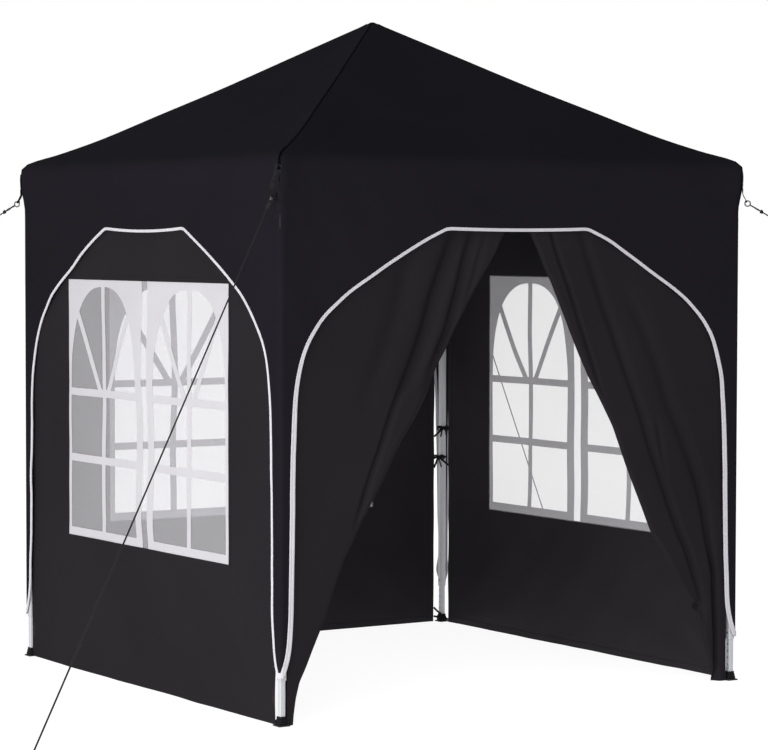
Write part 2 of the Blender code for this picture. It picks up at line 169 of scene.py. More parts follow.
RIGHT_FOLDS = (
    (((1.745, 0.095), (1.661, 0.128), (1.566, 0.162), (1.491, 0.194), (1.415, 0.225), (1.329, 0.257),
      (1.242, 0.294), (1.135, 0.340), (1.065, 0.366), (1.000, 0.405)),
     ((1.745, 0.001), (1.650, 0.006), (1.200, 0.006), (1.060, 0.000)),
     ((1.745, 0.006), (1.000, 0.006))),
    (((1.745, 0.228), (1.626, 0.267), (1.510, 0.312), (1.403, 0.357), (1.322, 0.395), (1.225, 0.434),
      (1.105, 0.485), (0.997, 0.533), (0.922, 0.558), (0.857, 0.584), (0.766, 0.622), (0.670, 0.660),
      (0.572, 0.705), (0.500, 0.744), (0.399, 0.784), (0.300, 0.822)),
     ((1.745, 0.002), (1.500, 0.005), (1.100, 0.006), (0.700, 0.007), (0.450, 0.009), (0.330, 0.004)),
     ((1.745, 0.016), (0.900, 0.013), (0.300, 0.010))),
    (((1.500, 0.425), (1.361, 0.503), (1.273, 0.548), (1.191, 0.588), (1.113, 0.621), (1.043, 0.645),
      (0.942, 0.702), (0.825, 0.754), (0.738, 0.793), (0.647, 0.819), (0.484, 0.850), (0.408, 0.866),
      (0.322, 0.871), (0.234, 0.876), (0.165, 0.881), (0.000, 0.884)),
     ((1.500, 0.000), (1.350, 0.005), (0.900, 0.007), (0.600, 0.010), (0.450, 0.014), (0.100, 0.012)),
     ((1.500, 0.026), (0.900, 0.022), (0.600, 0.013), (0.450, 0.008), (0.000, 0.007))),
    (((1.020, 0.590), (0.944, 0.614), (0.833, 0.634), (0.740, 0.660)),
     ((1.000, 0.000), (0.940, 0.003), (0.830, 0.003), (0.750, 0.000)),
     ((1.000, 0.009), (0.740, 0.009))),
)
ROLL_DEPTH = 1.25         # how deep the soft roll turns in, as a share of its width
LEFT_ROLL_OUT = 0.686     # how far the left half's edge lies beyond its table, as a share of the roll
DIMPLE = (0.812, 0.030, 0.022)   # where the tie draws the right half in: its place, depth and radius
DOOR_SHAPES = {-1: (LEFT_EDGE, LEFT_ROLL, LEFT_FOLDS), 1: (RIGHT_EDGE, RIGHT_ROLL, RIGHT_FOLDS)}
DOOR_FRONT, DOOR_TURN, DOOR_BACK = 190, 12, 54   # columns of points in the three lengths of a door level
DOOR_GRIDS = {}           # the door's levels, worked out once for each half


# Properties

class CoverSizes(bpy.types.PropertyGroup):
    """Sizes of the cover and its tape."""

    thickness: FloatProperty(
        name="Cloth thickness", description="Thickness of the coated cloth", default=0.0011, unit="LENGTH")
    roof_sag: FloatProperty(
        name="Roof sag", description="How far each slope hangs in between the hips", default=0.014,
        unit="LENGTH")
    ripple: FloatProperty(
        name="Ripple", description="Height of the soft waves in the hanging sides", default=0.0036,
        unit="LENGTH")
    tug: FloatProperty(
        name="Corner tug", description="How far the guy straps draw the corners out", default=0.0125,
        unit="LENGTH")
    tape_width: FloatProperty(
        name="Tape width", description="Full width of the pale tape", default=0.0170,
        unit="LENGTH")
    seam_width: FloatProperty(
        name="Seam width", description="Width of the felled seam on each hip", default=0.007,
        unit="LENGTH")


class WallSizes(bpy.types.PropertyGroup):
    """Sizes of the walls and their windows."""

    thickness: FloatProperty(
        name="Cloth thickness", description="Thickness of the wall cloth", default=0.0010, unit="LENGTH")
    wave: FloatProperty(
        name="Wave", description="Height of the soft waves in a hanging wall", default=0.0032,
        unit="LENGTH")
    hem: FloatProperty(
        name="Hem", description="Width of the hems along the foot and the sides", default=0.024,
        unit="LENGTH")
    film_thickness: FloatProperty(
        name="Film thickness", description="Thickness of the clear film", default=0.0005, unit="LENGTH")
    film_wave: FloatProperty(
        name="Film wave", description="How far the printed bars wander on the slack film",
        default=0.0045, unit="LENGTH")
    bar: FloatProperty(
        name="Printed bar", description="Width of the printed window bars", default=0.028, unit="LENGTH")


class DoorSizes(bpy.types.PropertyGroup):
    """Sizes of the two door halves."""

    fold_depth: FloatProperty(
        name="Fold depth", description="Strength of the folds", default=2.1)
    cloth_width: FloatProperty(
        name="Cloth width", description="Width that each half was cut to", default=0.93, unit="LENGTH")
    edge_roll: FloatProperty(
        name="Edge roll", description="Radius of the turn of the drawn-back free edge", default=0.007,
        unit="LENGTH")
    tie_height: FloatProperty(
        name="Tie height", description="Height of the tie that holds the right half", default=0.284,
        unit="LENGTH")


class StitchSizes(bpy.types.PropertyGroup):
    """Sizes of the seams' stitches."""

    spacing: FloatProperty(
        name="Spacing", description="Distance from one stitch to the next", default=0.0065, unit="LENGTH")
    length: FloatProperty(
        name="Length", description="Length of one stitch", default=0.0046, unit="LENGTH")
    thread: FloatProperty(
        name="Thread", description="Thickness of the thread", default=0.0007, unit="LENGTH")


class GuySizes(bpy.types.PropertyGroup):
    """Sizes of the guy ropes and what holds them."""

    rope: FloatProperty(
        name="Rope", description="Diameter of the guy rope", default=0.005, unit="LENGTH")
    strap: FloatProperty(
        name="Strap", description="Width of the webbing strap at a corner", default=0.025, unit="LENGTH")
    ring: FloatProperty(
        name="Ring", description="Radius of the ring at a corner", default=0.010, unit="LENGTH")


class TentColours(bpy.types.PropertyGroup):
    """Colours of the finishes."""

    cover: FloatVectorProperty(
        name="Cover", description="Cover cloth", subtype="COLOR", size=3, default=(0.0096, 0.0088, 0.0116))
    wall: FloatVectorProperty(
        name="Wall", description="Wall and door cloth", subtype="COLOR", size=3,
        default=(0.0140, 0.0124, 0.0140))
    # painted light: the lining is lighter than the wall and cover cloth, a lift that stands in for light
    # inside the tent
    lining: FloatVectorProperty(
        name="Lining", description="Coated inner face of the walls", subtype="COLOR", size=3,
        default=(0.0185, 0.0165, 0.0185))
    tape: FloatVectorProperty(
        name="Tape", description="Pale tape round the arches", subtype="COLOR", size=3,
        default=(0.47, 0.455, 0.485))
    print_white: FloatVectorProperty(
        name="Print", description="White print of the windows", subtype="COLOR", size=3,
        default=(0.47, 0.46, 0.48))
    film: FloatVectorProperty(
        name="Film", description="Haze of the clear film", subtype="COLOR", size=3,
        default=(0.60, 0.59, 0.615))
    tube: FloatVectorProperty(
        name="Tube", description="Powder coat of the frame", subtype="COLOR", size=3,
        default=(0.41, 0.418, 0.435))


class StageSettings(bpy.types.PropertyGroup):
    """Camera and light."""

    camera_place: FloatVectorProperty(
        name="Camera place", description="Where the camera stands", subtype="TRANSLATION", size=3,
        default=(-5.8734, -9.3085, 1.6451))
    camera_yaw: FloatProperty(
        name="Yaw", description="Heading of the camera from +Y towards +X", subtype="ANGLE",
        default=math.radians(32.494))
    camera_pitch: FloatProperty(
        name="Pitch", description="Tilt of the camera above level", subtype="ANGLE",
        default=math.radians(-2.713))
    camera_roll: FloatProperty(
        name="Roll", description="Turn of the camera about its own axis", subtype="ANGLE",
        default=math.radians(0.10))
    lens: FloatProperty(
        name="Lens", description="Focal length on a 36 mm wide sensor, in millimetres", default=135.19)
    floor_reach: FloatProperty(
        name="Floor reach", description="Half width of the pale floor", default=90.0, unit="LENGTH")
    floor_rings: IntProperty(
        name="Floor rings", description="Rings of faces in the round floor", default=24)


# Lines and grids

UP = np.array([0.0, 0.0, 1.0])


def lengths(line):
    """Distance from the start of a line to each of its points."""
    return np.concatenate([[0.0], np.cumsum(np.linalg.norm(np.diff(line, axis=0), axis=1))])


def unit(rows):
    """Directions made one long."""
    return rows / np.maximum(np.linalg.norm(rows, axis=-1, keepdims=True), 1e-9)


def tangents(path):
    """The direction of a path at each of its points."""
    return unit(np.gradient(path, axis=0))


def full_turn(count):
    """Evenly spaced angles round a circle."""
    return np.linspace(0, 2 * math.pi, count, endpoint=False)


def at_shares(line, shares):
    """Points of an evenly spaced line at shares of its length."""
    stops = np.linspace(0, 1, len(line))
    return np.column_stack([np.interp(shares, stops, column) for column in line.T])


def resample(line, count):
    """The same line with evenly spaced points."""
    line = np.asarray(line, float)
    at = lengths(line)
    want = np.linspace(0.0, at[-1], count)
    return np.column_stack([np.interp(want, at, column) for column in line.T])


def smooth_line(points, count, fine=24):
    """Evenly spaced points along a smooth curve through the given ones."""
    points = np.asarray(points, float)
    ends = np.vstack([2 * points[0] - points[1], points, 2 * points[-1] - points[-2]])
    t = np.linspace(0, 1, fine, endpoint=False)[:, None]
    dense = []
    for a, b, c, d in zip(ends, ends[1:], ends[2:], ends[3:]):
        curve = 2 * b + (c - a) * t + (2 * a - 5 * b + 4 * c - d) * t ** 2
        dense.append((curve + (3 * b - a - 3 * c + d) * t ** 3) / 2)
    return resample(np.vstack([*dense, points[-1:]]), count)


def smoothstep(value):
    """0 below 0, 1 above 1 and a soft step between."""
    value = np.clip(value, 0.0, 1.0)
    return value * value * (3 - 2 * value)


def hump(value, centre, width):
    """A soft round hump of height 1."""
    return np.exp(-((value - centre) / width) ** 2)


def waves(h, z, seed, length, count=5, lean=1.0):
    """Soft irregular waves of about height 1; lean turns their crests from upright to level."""
    draw = np.random.default_rng(seed)
    total = 0.0
    for _ in range(count):
        turn = draw.normal(0.0, 0.45) + lean * math.pi / 2
        pitch = 2 * math.pi / (length * draw.uniform(0.7, 1.6))
        phase = draw.uniform(0, 2 * math.pi)
        total = total + np.sin(pitch * (np.cos(turn) * h + np.sin(turn) * z) + phase)
    return total / math.sqrt(count)


def grid_faces(rows, columns, first=0):
    """Quads of a grid that is numbered left to right and then down, seen from the side they face."""
    starts = (first + row * columns + column for row in range(rows - 1) for column in range(columns - 1))
    return [(a, a + columns, a + columns + 1, a + 1) for a in starts]


def tube_faces(rings, around, closed=False):
    """Quads between rings of points, with flat ends unless the tube is closed on itself."""
    faces = []
    for ring in range(rings if closed else rings - 1):
        a, b = ring * around, (ring + 1) % rings * around
        faces += [(a + i, a + (i + 1) % around, b + (i + 1) % around, b + i) for i in range(around)]
    if not closed:
        faces += [tuple(reversed(range(around))), tuple(range((rings - 1) * around, rings * around))]
    return faces


def turned(side, h, d, z):
    """Points of a side drawn as the front one, as rows of x, y and z."""
    angle = math.radians(TURNS[side])
    h, d, z = np.broadcast_arrays(np.asarray(h, float), np.asarray(d, float), np.asarray(z, float))
    x = h * math.cos(angle) + d * math.sin(angle)
    y = h * math.sin(angle) - d * math.cos(angle)
    return np.stack([x, y, z], axis=-1)


# Pieces

def put(name, data):
    """A new object in the scene."""
    made = bpy.data.objects.new(name, data)
    bpy.context.scene.collection.objects.link(made)
    return made


def add_piece(name, points, faces, finishes, uv=None, sharp=40):
    """Adds a mesh piece; uv holds one pair in metres for each point."""
    mesh = bpy.data.meshes.new(name)
    mesh.from_pydata([tuple(p) for p in np.asarray(points, float).reshape(-1, 3)], [], faces)
    if uv is not None:
        layer = mesh.uv_layers.new(name="Cloth")
        pairs = np.asarray(uv, np.float32).reshape(-1, 2)
        corner = np.zeros(len(mesh.loops), np.int32)
        mesh.loops.foreach_get("vertex_index", corner)
        layer.data.foreach_set("uv", pairs[corner].ravel())
    mesh.shade_smooth()
    mesh.set_sharp_from_angle(angle=math.radians(sharp))
    for finish in finishes:
        mesh.materials.append(finish)
    return put(name, mesh)


@contextmanager
def editing(piece):
    """A piece's mesh, open for bmesh operators and written back afterwards."""
    shape = bmesh.new()
    shape.from_mesh(piece.data)
    yield shape
    shape.to_mesh(piece.data)
    shape.free()


def weld(piece, distance):
    """Joins the points that lie on each other."""
    with editing(piece) as shape:
        bmesh.ops.remove_doubles(shape, verts=shape.verts, dist=distance)


def face_out(piece):
    """Turns a closed mesh's faces outwards."""
    weld(piece, 1e-6)
    with editing(piece) as shape:
        bmesh.ops.recalc_face_normals(shape, faces=shape.faces)


def drop_loose(piece):
    """Removes the points that no face uses."""
    with editing(piece) as shape:
        loose = [point for point in shape.verts if not point.link_faces]
        bmesh.ops.delete(shape, geom=loose, context="VERTS")


def plain(piece):
    """Turns a piece with modifiers into a plain mesh."""
    bpy.context.view_layer.update()
    evaluated = piece.evaluated_get(bpy.context.evaluated_depsgraph_get())
    mesh = bpy.data.meshes.new_from_object(evaluated)
    piece.modifiers.clear()
    piece.data = mesh
    return piece


def thicken(piece, thickness, inner=0):
    """Gives a sheet its thickness inwards; inner is the slot of its inner face."""
    step = piece.modifiers.new("Thickness", "SOLIDIFY")
    step.thickness = thickness
    step.offset = -1.0
    step.material_offset = inner
    plain(piece).data.set_sharp_from_angle(angle=math.radians(50))


def join_pieces(name, pieces):
    """One mesh piece from several, with their finishes and their map kept."""
    shape = bmesh.new()
    finishes = []
    for piece in pieces:
        slots = []
        for finish in piece.data.materials:
            if finish not in finishes:
                finishes.append(finish)
            slots.append(finishes.index(finish))
        before = len(shape.faces)
        shape.from_mesh(piece.data)
        shape.faces.ensure_lookup_table()
        for face in shape.faces[before:]:
            face.material_index = slots[face.material_index]
        bpy.data.objects.remove(piece, do_unlink=True)
    mesh = bpy.data.meshes.new(name)
    shape.to_mesh(mesh)
    shape.free()
    for finish in finishes:
        mesh.materials.append(finish)
    return put(name, mesh)


def tube_piece(name, rings, steps, girth, finish, closed=False):
    """A closed piece from rings of points, mapped by the distances along it and round it."""
    uv = np.stack(np.broadcast_arrays(steps[:, None], girth[None, :]), axis=-1)
    piece = add_piece(name, rings, tube_faces(*rings.shape[:2], closed), [finish], uv)
    face_out(piece)
    return piece


def strip_piece(name, rows, finish):
    """A closed strip from rows of points, each row a loop across the strip."""
    rows = np.asarray(rows, float)
    return tube_piece(name, rows, lengths(rows.mean(axis=1)), lengths(rows[len(rows) // 2]), finish)


def sweep(name, path, section, across, up, finish, closed=False):
    """A section carried along a path; across and up are a direction each, or one for each point."""
    path = np.asarray(path, float)
    across, up = (np.broadcast_to(np.asarray(way, float), path.shape)[:, None, :] for way in (across, up))
    section = np.asarray(section, float)
    rings = path[:, None, :] + across * section[None, :, :1] + up * section[None, :, 1:]
    return tube_piece(name, rings, lengths(path), lengths(section), finish, closed)


def oval(width, height, count=10):
    """Points round an oval section."""
    angle = full_turn(count)
    return np.column_stack([width / 2 * np.cos(angle), height / 2 * np.sin(angle)])


def path_frames(path, reference=UP):
    """Directions across a path: the first is square to a reference, and the second to the first."""
    along = tangents(path)
    across = unit(np.cross(along, reference))
    return across, np.cross(across, along)


def cord_tube(name, path, diameter, finish, around=10, reference=UP):
    """A round cord along a path."""
    across, up = path_frames(path, reference)
    return sweep(name, path, oval(diameter, diameter, around), across, up, finish)


def ribbon_path(points, width, thickness, facing, finish, name="tie", count=26):
    """A flat ribbon along a smooth path; facing is the way its flat side looks."""
    path = smooth_line(points, count)
    across, up = path_frames(path, facing)
    return sweep(name, path, oval(width, thickness, 8), across, up, finish)


def ride(piece, body, slot, *nodes):
    """Ties a finished piece to its body and hides the nodes that it replaces; slot is not used."""
    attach(piece, body)
    if nodes:
        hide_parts(*nodes)
    return piece


# Finishes

WAVE_LENGTH = 0.31416     # of the Wave texture at a scale of 1


class Nodes:
    """A node tree under construction."""

    def node(self, kind, inputs=None, **settings):
        """Adds a node, with plain settings and with inputs by name or number."""
        made = self.tree.nodes.new(kind)
        for key, value in settings.items():
            setattr(made, key, value)
        for key, value in (inputs or {}).items():
            if isinstance(value, bpy.types.NodeSocket):
                self.tree.links.new(value, made.inputs[key])
            else:
                made.inputs[key].default_value = value
        return made


class Finish(Nodes):
    """A material under construction: its shader, and short ways to add patterns."""

    def __init__(self, name, colour, roughness, **sockets):
        self.material = bpy.data.materials.new(name)
        self.material.use_nodes = True
        self.tree = self.material.node_tree
        self.shader = self.tree.nodes["Principled BSDF"]
        self.colour = (*colour, 1.0)
        self.shader.inputs["Base Color"].default_value = self.colour
        self.shader.inputs["Roughness"].default_value = roughness
        for socket, value in sockets.items():
            self.shader.inputs[socket.replace("_", " ")].default_value = value

    def place(self, cloth_map=False):
        """Where a pattern is read: the piece's own map in metres, or the object's coordinates."""
        if cloth_map:
            return self.node("ShaderNodeUVMap", uv_map="Cloth").outputs["UV"]
        return self.node("ShaderNodeTexCoord").outputs["Object"]

    def noise(self, place, scale, detail=3.0, roughness=0.55):
        """Cloudy noise; scale is how many clouds lie along a metre."""
        made = self.node("ShaderNodeTexNoise", {
            "Vector": place, "Scale": scale, "Detail": detail, "Roughness": roughness})
        return made.outputs["Fac"]

    def spread(self, value, low, high):
        """A 0 to 1 value spread from low to high."""
        made = self.node("ShaderNodeMapRange", {"Value": value, "To Min": low, "To Max": high})
        return made.outputs["Result"]

    def bands(self, place, pitch, direction, turn=0.0):
        """Threads at a pitch in metres along X or Y, over one and under the next, turned by an angle."""
        spun = self.node("ShaderNodeMapping", {"Vector": place, "Rotation": (0.0, 0.0, turn)})
        made = self.node("ShaderNodeTexWave", {
            "Vector": spun.outputs["Vector"], "Scale": WAVE_LENGTH / (2 * pitch), "Distortion": 0.0},
            wave_type="BANDS", bands_direction=direction)
        return made.outputs["Fac"]

    def maths(self, operation, first, second):
        """Two values joined by a sum, a product or the like."""
        return self.node("ShaderNodeMath", {0: first, 1: second}, operation=operation).outputs[0]

    def tint(self, value, dark, light):
        """Varies the base colour between two strengths of itself."""
        scale = self.spread(value, dark, light)
        made = self.node("ShaderNodeVectorMath", {0: self.colour[:3], "Scale": scale}, operation="SCALE")
        self.tree.links.new(made.outputs[0], self.shader.inputs["Base Color"])

    def roughen(self, value, low, high):
        """Varies the roughness."""
        self.tree.links.new(self.spread(value, low, high), self.shader.inputs["Roughness"])

    def relief(self, layers):
        """Stacks bumps, each a height, a strength and a depth in metres."""
        normal = None
        for height, strength, depth in layers:
            inputs = {"Height": height, "Strength": strength, "Distance": depth}
            if normal is not None:
                inputs["Normal"] = normal
            normal = self.node("ShaderNodeBump", inputs).outputs["Normal"]
        self.tree.links.new(normal, self.shader.inputs["Normal"])


def cloth_finish(name, colour, roughness, pitch, specular, crease):
    """Coated woven cloth: two sets of threads, soft creases and a faint cloudiness."""
    made = Finish(name, colour, roughness, Specular_IOR_Level=specular)
    place = made.place(cloth_map=True)
    threads = made.maths("MULTIPLY", made.bands(place, pitch, "X"), made.bands(place, pitch, "Y"))
    made.tint(made.noise(place, 1.7, 2.0, 0.5), 0.82, 1.18)
    made.roughen(made.noise(place, 11.0), roughness - 0.07, roughness + 0.07)
    made.relief([(threads, 0.25, 0.0002), (made.noise(place, 7.0, 4.0, 0.5), crease, 0.004)])
    return made.material


def tape_finish(colour):
    """Pale woven tape with slanted ribs and a slightly soiled tone."""
    made = Finish("pale edge tape", colour, 0.72, Specular_IOR_Level=0.25, Sheen_Weight=0.1)
    place = made.place(cloth_map=True)
    made.tint(made.noise(place, 26.0, 3.0), 0.92, 1.06)
    made.relief([(made.bands(place, 0.0016, "X", math.radians(35)), 0.4, 0.0003)])
    return made.material


def webbing_finish(name, colour, specular, pitch=0.0018):
    """Woven strap with ribs across it."""
    made = Finish(name, colour, 0.72, Specular_IOR_Level=specular)
    place = made.place(cloth_map=True)
    ribs = made.maths("MAXIMUM", made.bands(place, pitch, "X"), made.bands(place, pitch * 1.5, "Y"))
    made.tint(made.noise(place, 60.0), 0.8, 1.25)
    made.relief([(ribs, 0.6, 0.0004)])
    return made.material


def rope_finish(colour, pitch=0.0034, slant=math.radians(38)):
    """Braided cord: two sets of slanted strands."""
    made = Finish("braided rope", colour, 0.75, Specular_IOR_Level=0.3)
    place = made.place(cloth_map=True)
    braid = made.maths("MULTIPLY", *(made.bands(place, pitch, "X", turn) for turn in (slant, -slant)))
    made.tint(braid, 0.55, 1.5)
    made.relief([(braid, 0.9, 0.0005)])
    return made.material


def smooth_finish(name, colour, roughness, tint, rough=None, bumps=(), on_cloth=False, **sockets):
    """A finish without a weave; tint, rough and each of bumps start with their noise's scale and detail."""
    made = Finish(name, colour, roughness, **sockets)
    place = made.place(on_cloth)
    made.tint(made.noise(place, *tint[:2]), *tint[2:])
    if rough:
        made.roughen(made.noise(place, *rough[:2]), *rough[2:])
    if bumps:
        made.relief([(made.noise(place, *bump[:2]), *bump[2:]) for bump in bumps])
    return made.material


def steel_finish(name, colour, roughness):
    """Bare or plated steel with fine scratches."""
    return smooth_finish(name, colour, roughness, (60.0, 4.0, 0.8, 1.1),
                         (300.0, 2.0, roughness - 0.08, roughness + 0.12), [(1500.0, 2.0, 0.15, 0.0002)],
                         Metallic=1.0)


def thread_finish(name, colour):
    """Sewing thread."""
    return smooth_finish(name, colour, 0.6, (400.0, 3.0, 0.8, 1.2), Specular_IOR_Level=0.3)


FINISHES = {}


def finishes():
    """The tent's finishes by name, made once."""
    if FINISHES:
        return FINISHES
    colours = bpy.context.scene.tent_colours
    FINISHES.update(
        cover=cloth_finish("cover cloth", colours.cover, 0.58, 0.0016, 0.002, 0.35),
        # the lining's lighter colour on the inner faces is painted light inside the tent
        cover_inside=cloth_finish("cover lining lightened as painted light", colours.lining, 0.55, 0.0016, 0.05, 0.35),
        wall=cloth_finish("wall cloth", colours.wall, 0.62, 0.0014, 0.01, 0.45),
        lining=cloth_finish("wall lining lightened as painted light", colours.lining, 0.55, 0.0014, 0.05, 0.45),
        # painted shade: the seam binding is far darker than the cover cloth, standing in for the shade line
        # along each hip
        seam=webbing_finish("seam binding painted dark as hip shade", (0.0022, 0.0021, 0.0026), 0.0),
        webbing=webbing_finish("black webbing", (0.0045, 0.0043, 0.0052), 0.12),
        tape=tape_finish(colours.tape),
        rope=rope_finish((0.009, 0.0085, 0.010)),
        # satin white ink with a faint mottle
        print=smooth_finish("white print", colours.print_white, 0.34, (9.0, 4.0, 0.96, 1.03),
                            (30.0, 3.0, 0.28, 0.42), [(4.0, 2.0, 0.3, 0.004)], True,
                            Specular_IOR_Level=0.25, Alpha=0.85),
        # slightly milky film with soft buckles
        film=smooth_finish("clear film", colours.film, 0.16, (3.0, 2.0, 0.97, 1.02),
                           (14.0, 3.0, 0.12, 0.22), [(3.2, 2.0, 0.5, 0.006)], True,
                           Specular_IOR_Level=0.25, Alpha=0.21),
        # fine orange peel and faint handling marks
        paint=smooth_finish("powder coat", colours.tube, 0.42, (18.0, 4.0, 0.93, 1.04),
                            (55.0, 3.0, 0.34, 0.52), [(900.0, 2.0, 0.25, 0.0002), (40.0, 3.0, 0.1, 0.0006)]),
        plastic=smooth_finish("black plastic", (0.010, 0.010, 0.011), 0.5, (35.0, 3.0, 0.8, 1.25),
                              (120.0, 3.0, 0.42, 0.6), [(1400.0, 1.0, 0.35, 0.0002)], Specular_IOR_Level=0.4),
        steel=steel_finish("peg steel", (0.42, 0.42, 0.43), 0.38),
        plated=steel_finish("plated steel", (0.10, 0.10, 0.105), 0.34),
        thread=thread_finish("black thread", (0.012, 0.012, 0.013)),
        pale_thread=thread_finish("pale thread", (0.55, 0.54, 0.57)),
    )
    return FINISHES


# Shape of the cover

def arch_path(side):
    """The middle of the tape round an arch, as h and z, from the left tip to the right tip."""
    left, right, dip, insets = ARCHES[side]
    left, right = np.array(left), np.array(right)
    for half, inset in zip((left, right), insets):
        half[:, 0] += inset * smoothstep((1.36 - half[:, 1]) / 0.16) * smoothstep((half[:, 1] - 0.20) / 0.12)
    start, end = -left[0, 0], right[0, 0]
    top = np.linspace(start, end, 14)[1:-1]
    level = left[0, 1] - dip * (1 - (2 * (top - start) / (end - start) - 1) ** 2)
    whole = np.vstack([left[::-1] * (-1, 1), np.column_stack([top, level]), right])
    return smooth_line(whole, 460, 8)


def beside(side, path, share):
    """A line beside the middle of a tape, at a share of its half width."""
    high, low = TAPE_SHARES[side]
    wide = high + (low - high) * smoothstep((1.5 - path[:, 1]) / 0.6)
    width = bpy.context.scene.cover_sizes.tape_width * wide
    along = tangents(path)
    return path + np.column_stack([-along[:, 1], along[:, 0]]) * (width * share / 2)[:, None]


def side_half(z):
    """Half width of the hanging cover at a height."""
    return SKIN + (EAVE_HALF - SKIN) * smoothstep((z - 1.80) / (EAVE_Z - 1.80))


def cloth_end(half, radius=CORNER_ROUND):
    """The length of cloth from the middle of a side to its corner."""
    return half - radius + radius * math.pi / 4


SIDE_END = cloth_end(SKIN)


def plan(h, half, radius, out):
    """Where cloth that turns round the corner in an arc lies in plan: along the side, and out."""
    flat = half - radius
    angle = np.clip((np.abs(h) - flat) / radius, 0.0, math.pi / 4)
    along = np.sign(h) * (np.minimum(np.abs(h), flat) + (radius + out) * np.sin(angle))
    return along, flat + (radius + out) * np.cos(angle)


def side_swell(side, h, z):
    """How far the hanging cover stands out from its flat shape: waves, creases and the corner's tug."""
    sizes = bpy.context.scene.cover_sizes
    seed = 11 + TURNS[side]
    from_corner = SIDE_END - np.abs(h)
    inside = smoothstep(from_corner / 0.16)
    below_eave = smoothstep((EAVE_Z - z) / 0.10)
    soft = waves(h, z, seed, 0.46, lean=0.75) + 0.45 * waves(h, z, seed + 1, 0.17, lean=0.85)
    total = sizes.ripple * soft * inside * (0.25 + 0.75 * below_eave)
    strip = np.sin(z * 17.0 + h * 9.0 + seed) + 0.6 * np.sin(z * 41.0 + seed)
    total = total + 0.0007 * strip * (1 - inside) * smoothstep(from_corner / 0.03) * below_eave
    away = np.hypot(from_corner, z - STRAP_PULL_Z) + 1e-6        # creases run out from the strap
    bearing = np.arctan2(STRAP_PULL_Z - z, from_corner)
    rays = np.cos(15.0 * bearing + 1.1 * np.sign(h) + seed) * smoothstep(from_corner / 0.05)
    total = total + 0.0034 * rays * (away / CREASE_FADE) * np.exp(-away / CREASE_FADE)
    tug = hump(from_corner, 0.0, 0.055) * np.exp(-((z - STRAP_PULL_Z) / 0.064) ** 4)
    return np.maximum(total, -0.0022 * inside) + sizes.tug * tug


def side_points(side, h, z, lift=0.0):
    """Points on the hanging cover of a side."""
    h = np.clip(np.asarray(h, float), -SIDE_END, SIDE_END)
    z = np.asarray(z, float)
    half = side_half(z)
    along, out = plan(h, half, CORNER_ROUND, side_swell(side, h, z) + lift)
    return turned(side, along, out, z)


ROOF_ROWS = 46
ROOF_PROFILE = smooth_line(HIP_LINE, ROOF_ROWS)
ROOF_LENGTH = lengths(ROOF_PROFILE)


def roof_points(side, reach, row, lift=0.0):
    """Points on a roof slope: reach from -1 to 1 across it, and row from 0 at the peak to 1 at the eave."""
    sizes = bpy.context.scene.cover_sizes
    reach, row = np.broadcast_arrays(np.asarray(reach, float), np.asarray(row, float))
    steps = np.linspace(0, 1, ROOF_ROWS)
    half = np.interp(row, steps, ROOF_PROFILE[:, 0])
    height = np.interp(row, steps, ROOF_PROFILE[:, 1])
    slopes = np.gradient(ROOF_PROFILE, axis=0)
    tilt = np.interp(row, steps, np.arctan2(-slopes[:, 1], slopes[:, 0]))
    radius = np.minimum(CORNER_ROUND, half * 0.5)
    end = cloth_end(half, radius)
    h = reach * end
    seed = 31 + TURNS[side]
    inside = smoothstep((end - np.abs(h)) / 0.12)
    sag = -sizes.roof_sag * (1 - reach ** 2) * np.sin(math.pi * row) ** 0.8
    soft = 0.0022 * waves(h, row * 1.2, seed, 0.38, lean=0.9) * inside * smoothstep((1 - row) / 0.12)
    swell = side_swell(side, np.sign(h) * (SIDE_END - (end - np.abs(h))), EAVE_Z)
    rise = sag + soft + lift
    joined = swell * smoothstep((row - 0.86) / 0.14)
    along, out = plan(h, half, radius, joined + rise * np.sin(tilt))
    return turned(side, along, out, height + rise * np.cos(tilt))


# Geometry Nodes: small shapes repeated along lines or on points

SPREADS = {               # sizes, the small shape and its inputs, the sizes that scale it, spacing on a line
    "Stitches": (("Spacing", "Length", "Thread"),
                 "GeometryNodeMeshUVSphere", {"Segments": 4, "Rings": 3, "Radius": 0.5},
                 ("Thread", "Thread", "Length"), "Spacing"),
    "Zip teeth": (("Pitch", "Width"),
                  "GeometryNodeMeshCube", {"Size": (1.0, 1.0, 0.45)}, ("Width", "Width", "Pitch"), "Pitch"),
    "Rivets": (("Radius", "Height"),
               "GeometryNodeMeshUVSphere", {"Segments": 14, "Rings": 8, "Radius": 1.0},
               ("Radius", "Radius", "Height"), None),
}


class Tree(Nodes):
    """A Geometry Nodes tree under construction, with named inputs."""

    def __init__(self, name, inputs):
        self.tree = bpy.data.node_groups.new(name, "GeometryNodeTree")
        face = self.tree.interface
        face.new_socket("Geometry", in_out="INPUT", socket_type="NodeSocketGeometry")
        for label, kind in inputs:
            face.new_socket(label, in_out="INPUT", socket_type=kind)
        face.new_socket("Geometry", in_out="OUTPUT", socket_type="NodeSocketGeometry")
        self.entry = self.tree.nodes.new("NodeGroupInput")
        self.leave = self.tree.nodes.new("NodeGroupOutput")

    def close(self, geometry):
        """Ends the tree: real meshes and their material."""
        real = self.node("GeometryNodeRealizeInstances", {"Geometry": geometry})
        painted = self.node("GeometryNodeSetMaterial", {
            "Geometry": real.outputs["Geometry"], "Material": self.entry.outputs["Material"]})
        self.tree.links.new(painted.outputs["Geometry"], self.leave.inputs["Geometry"])
        return self.tree


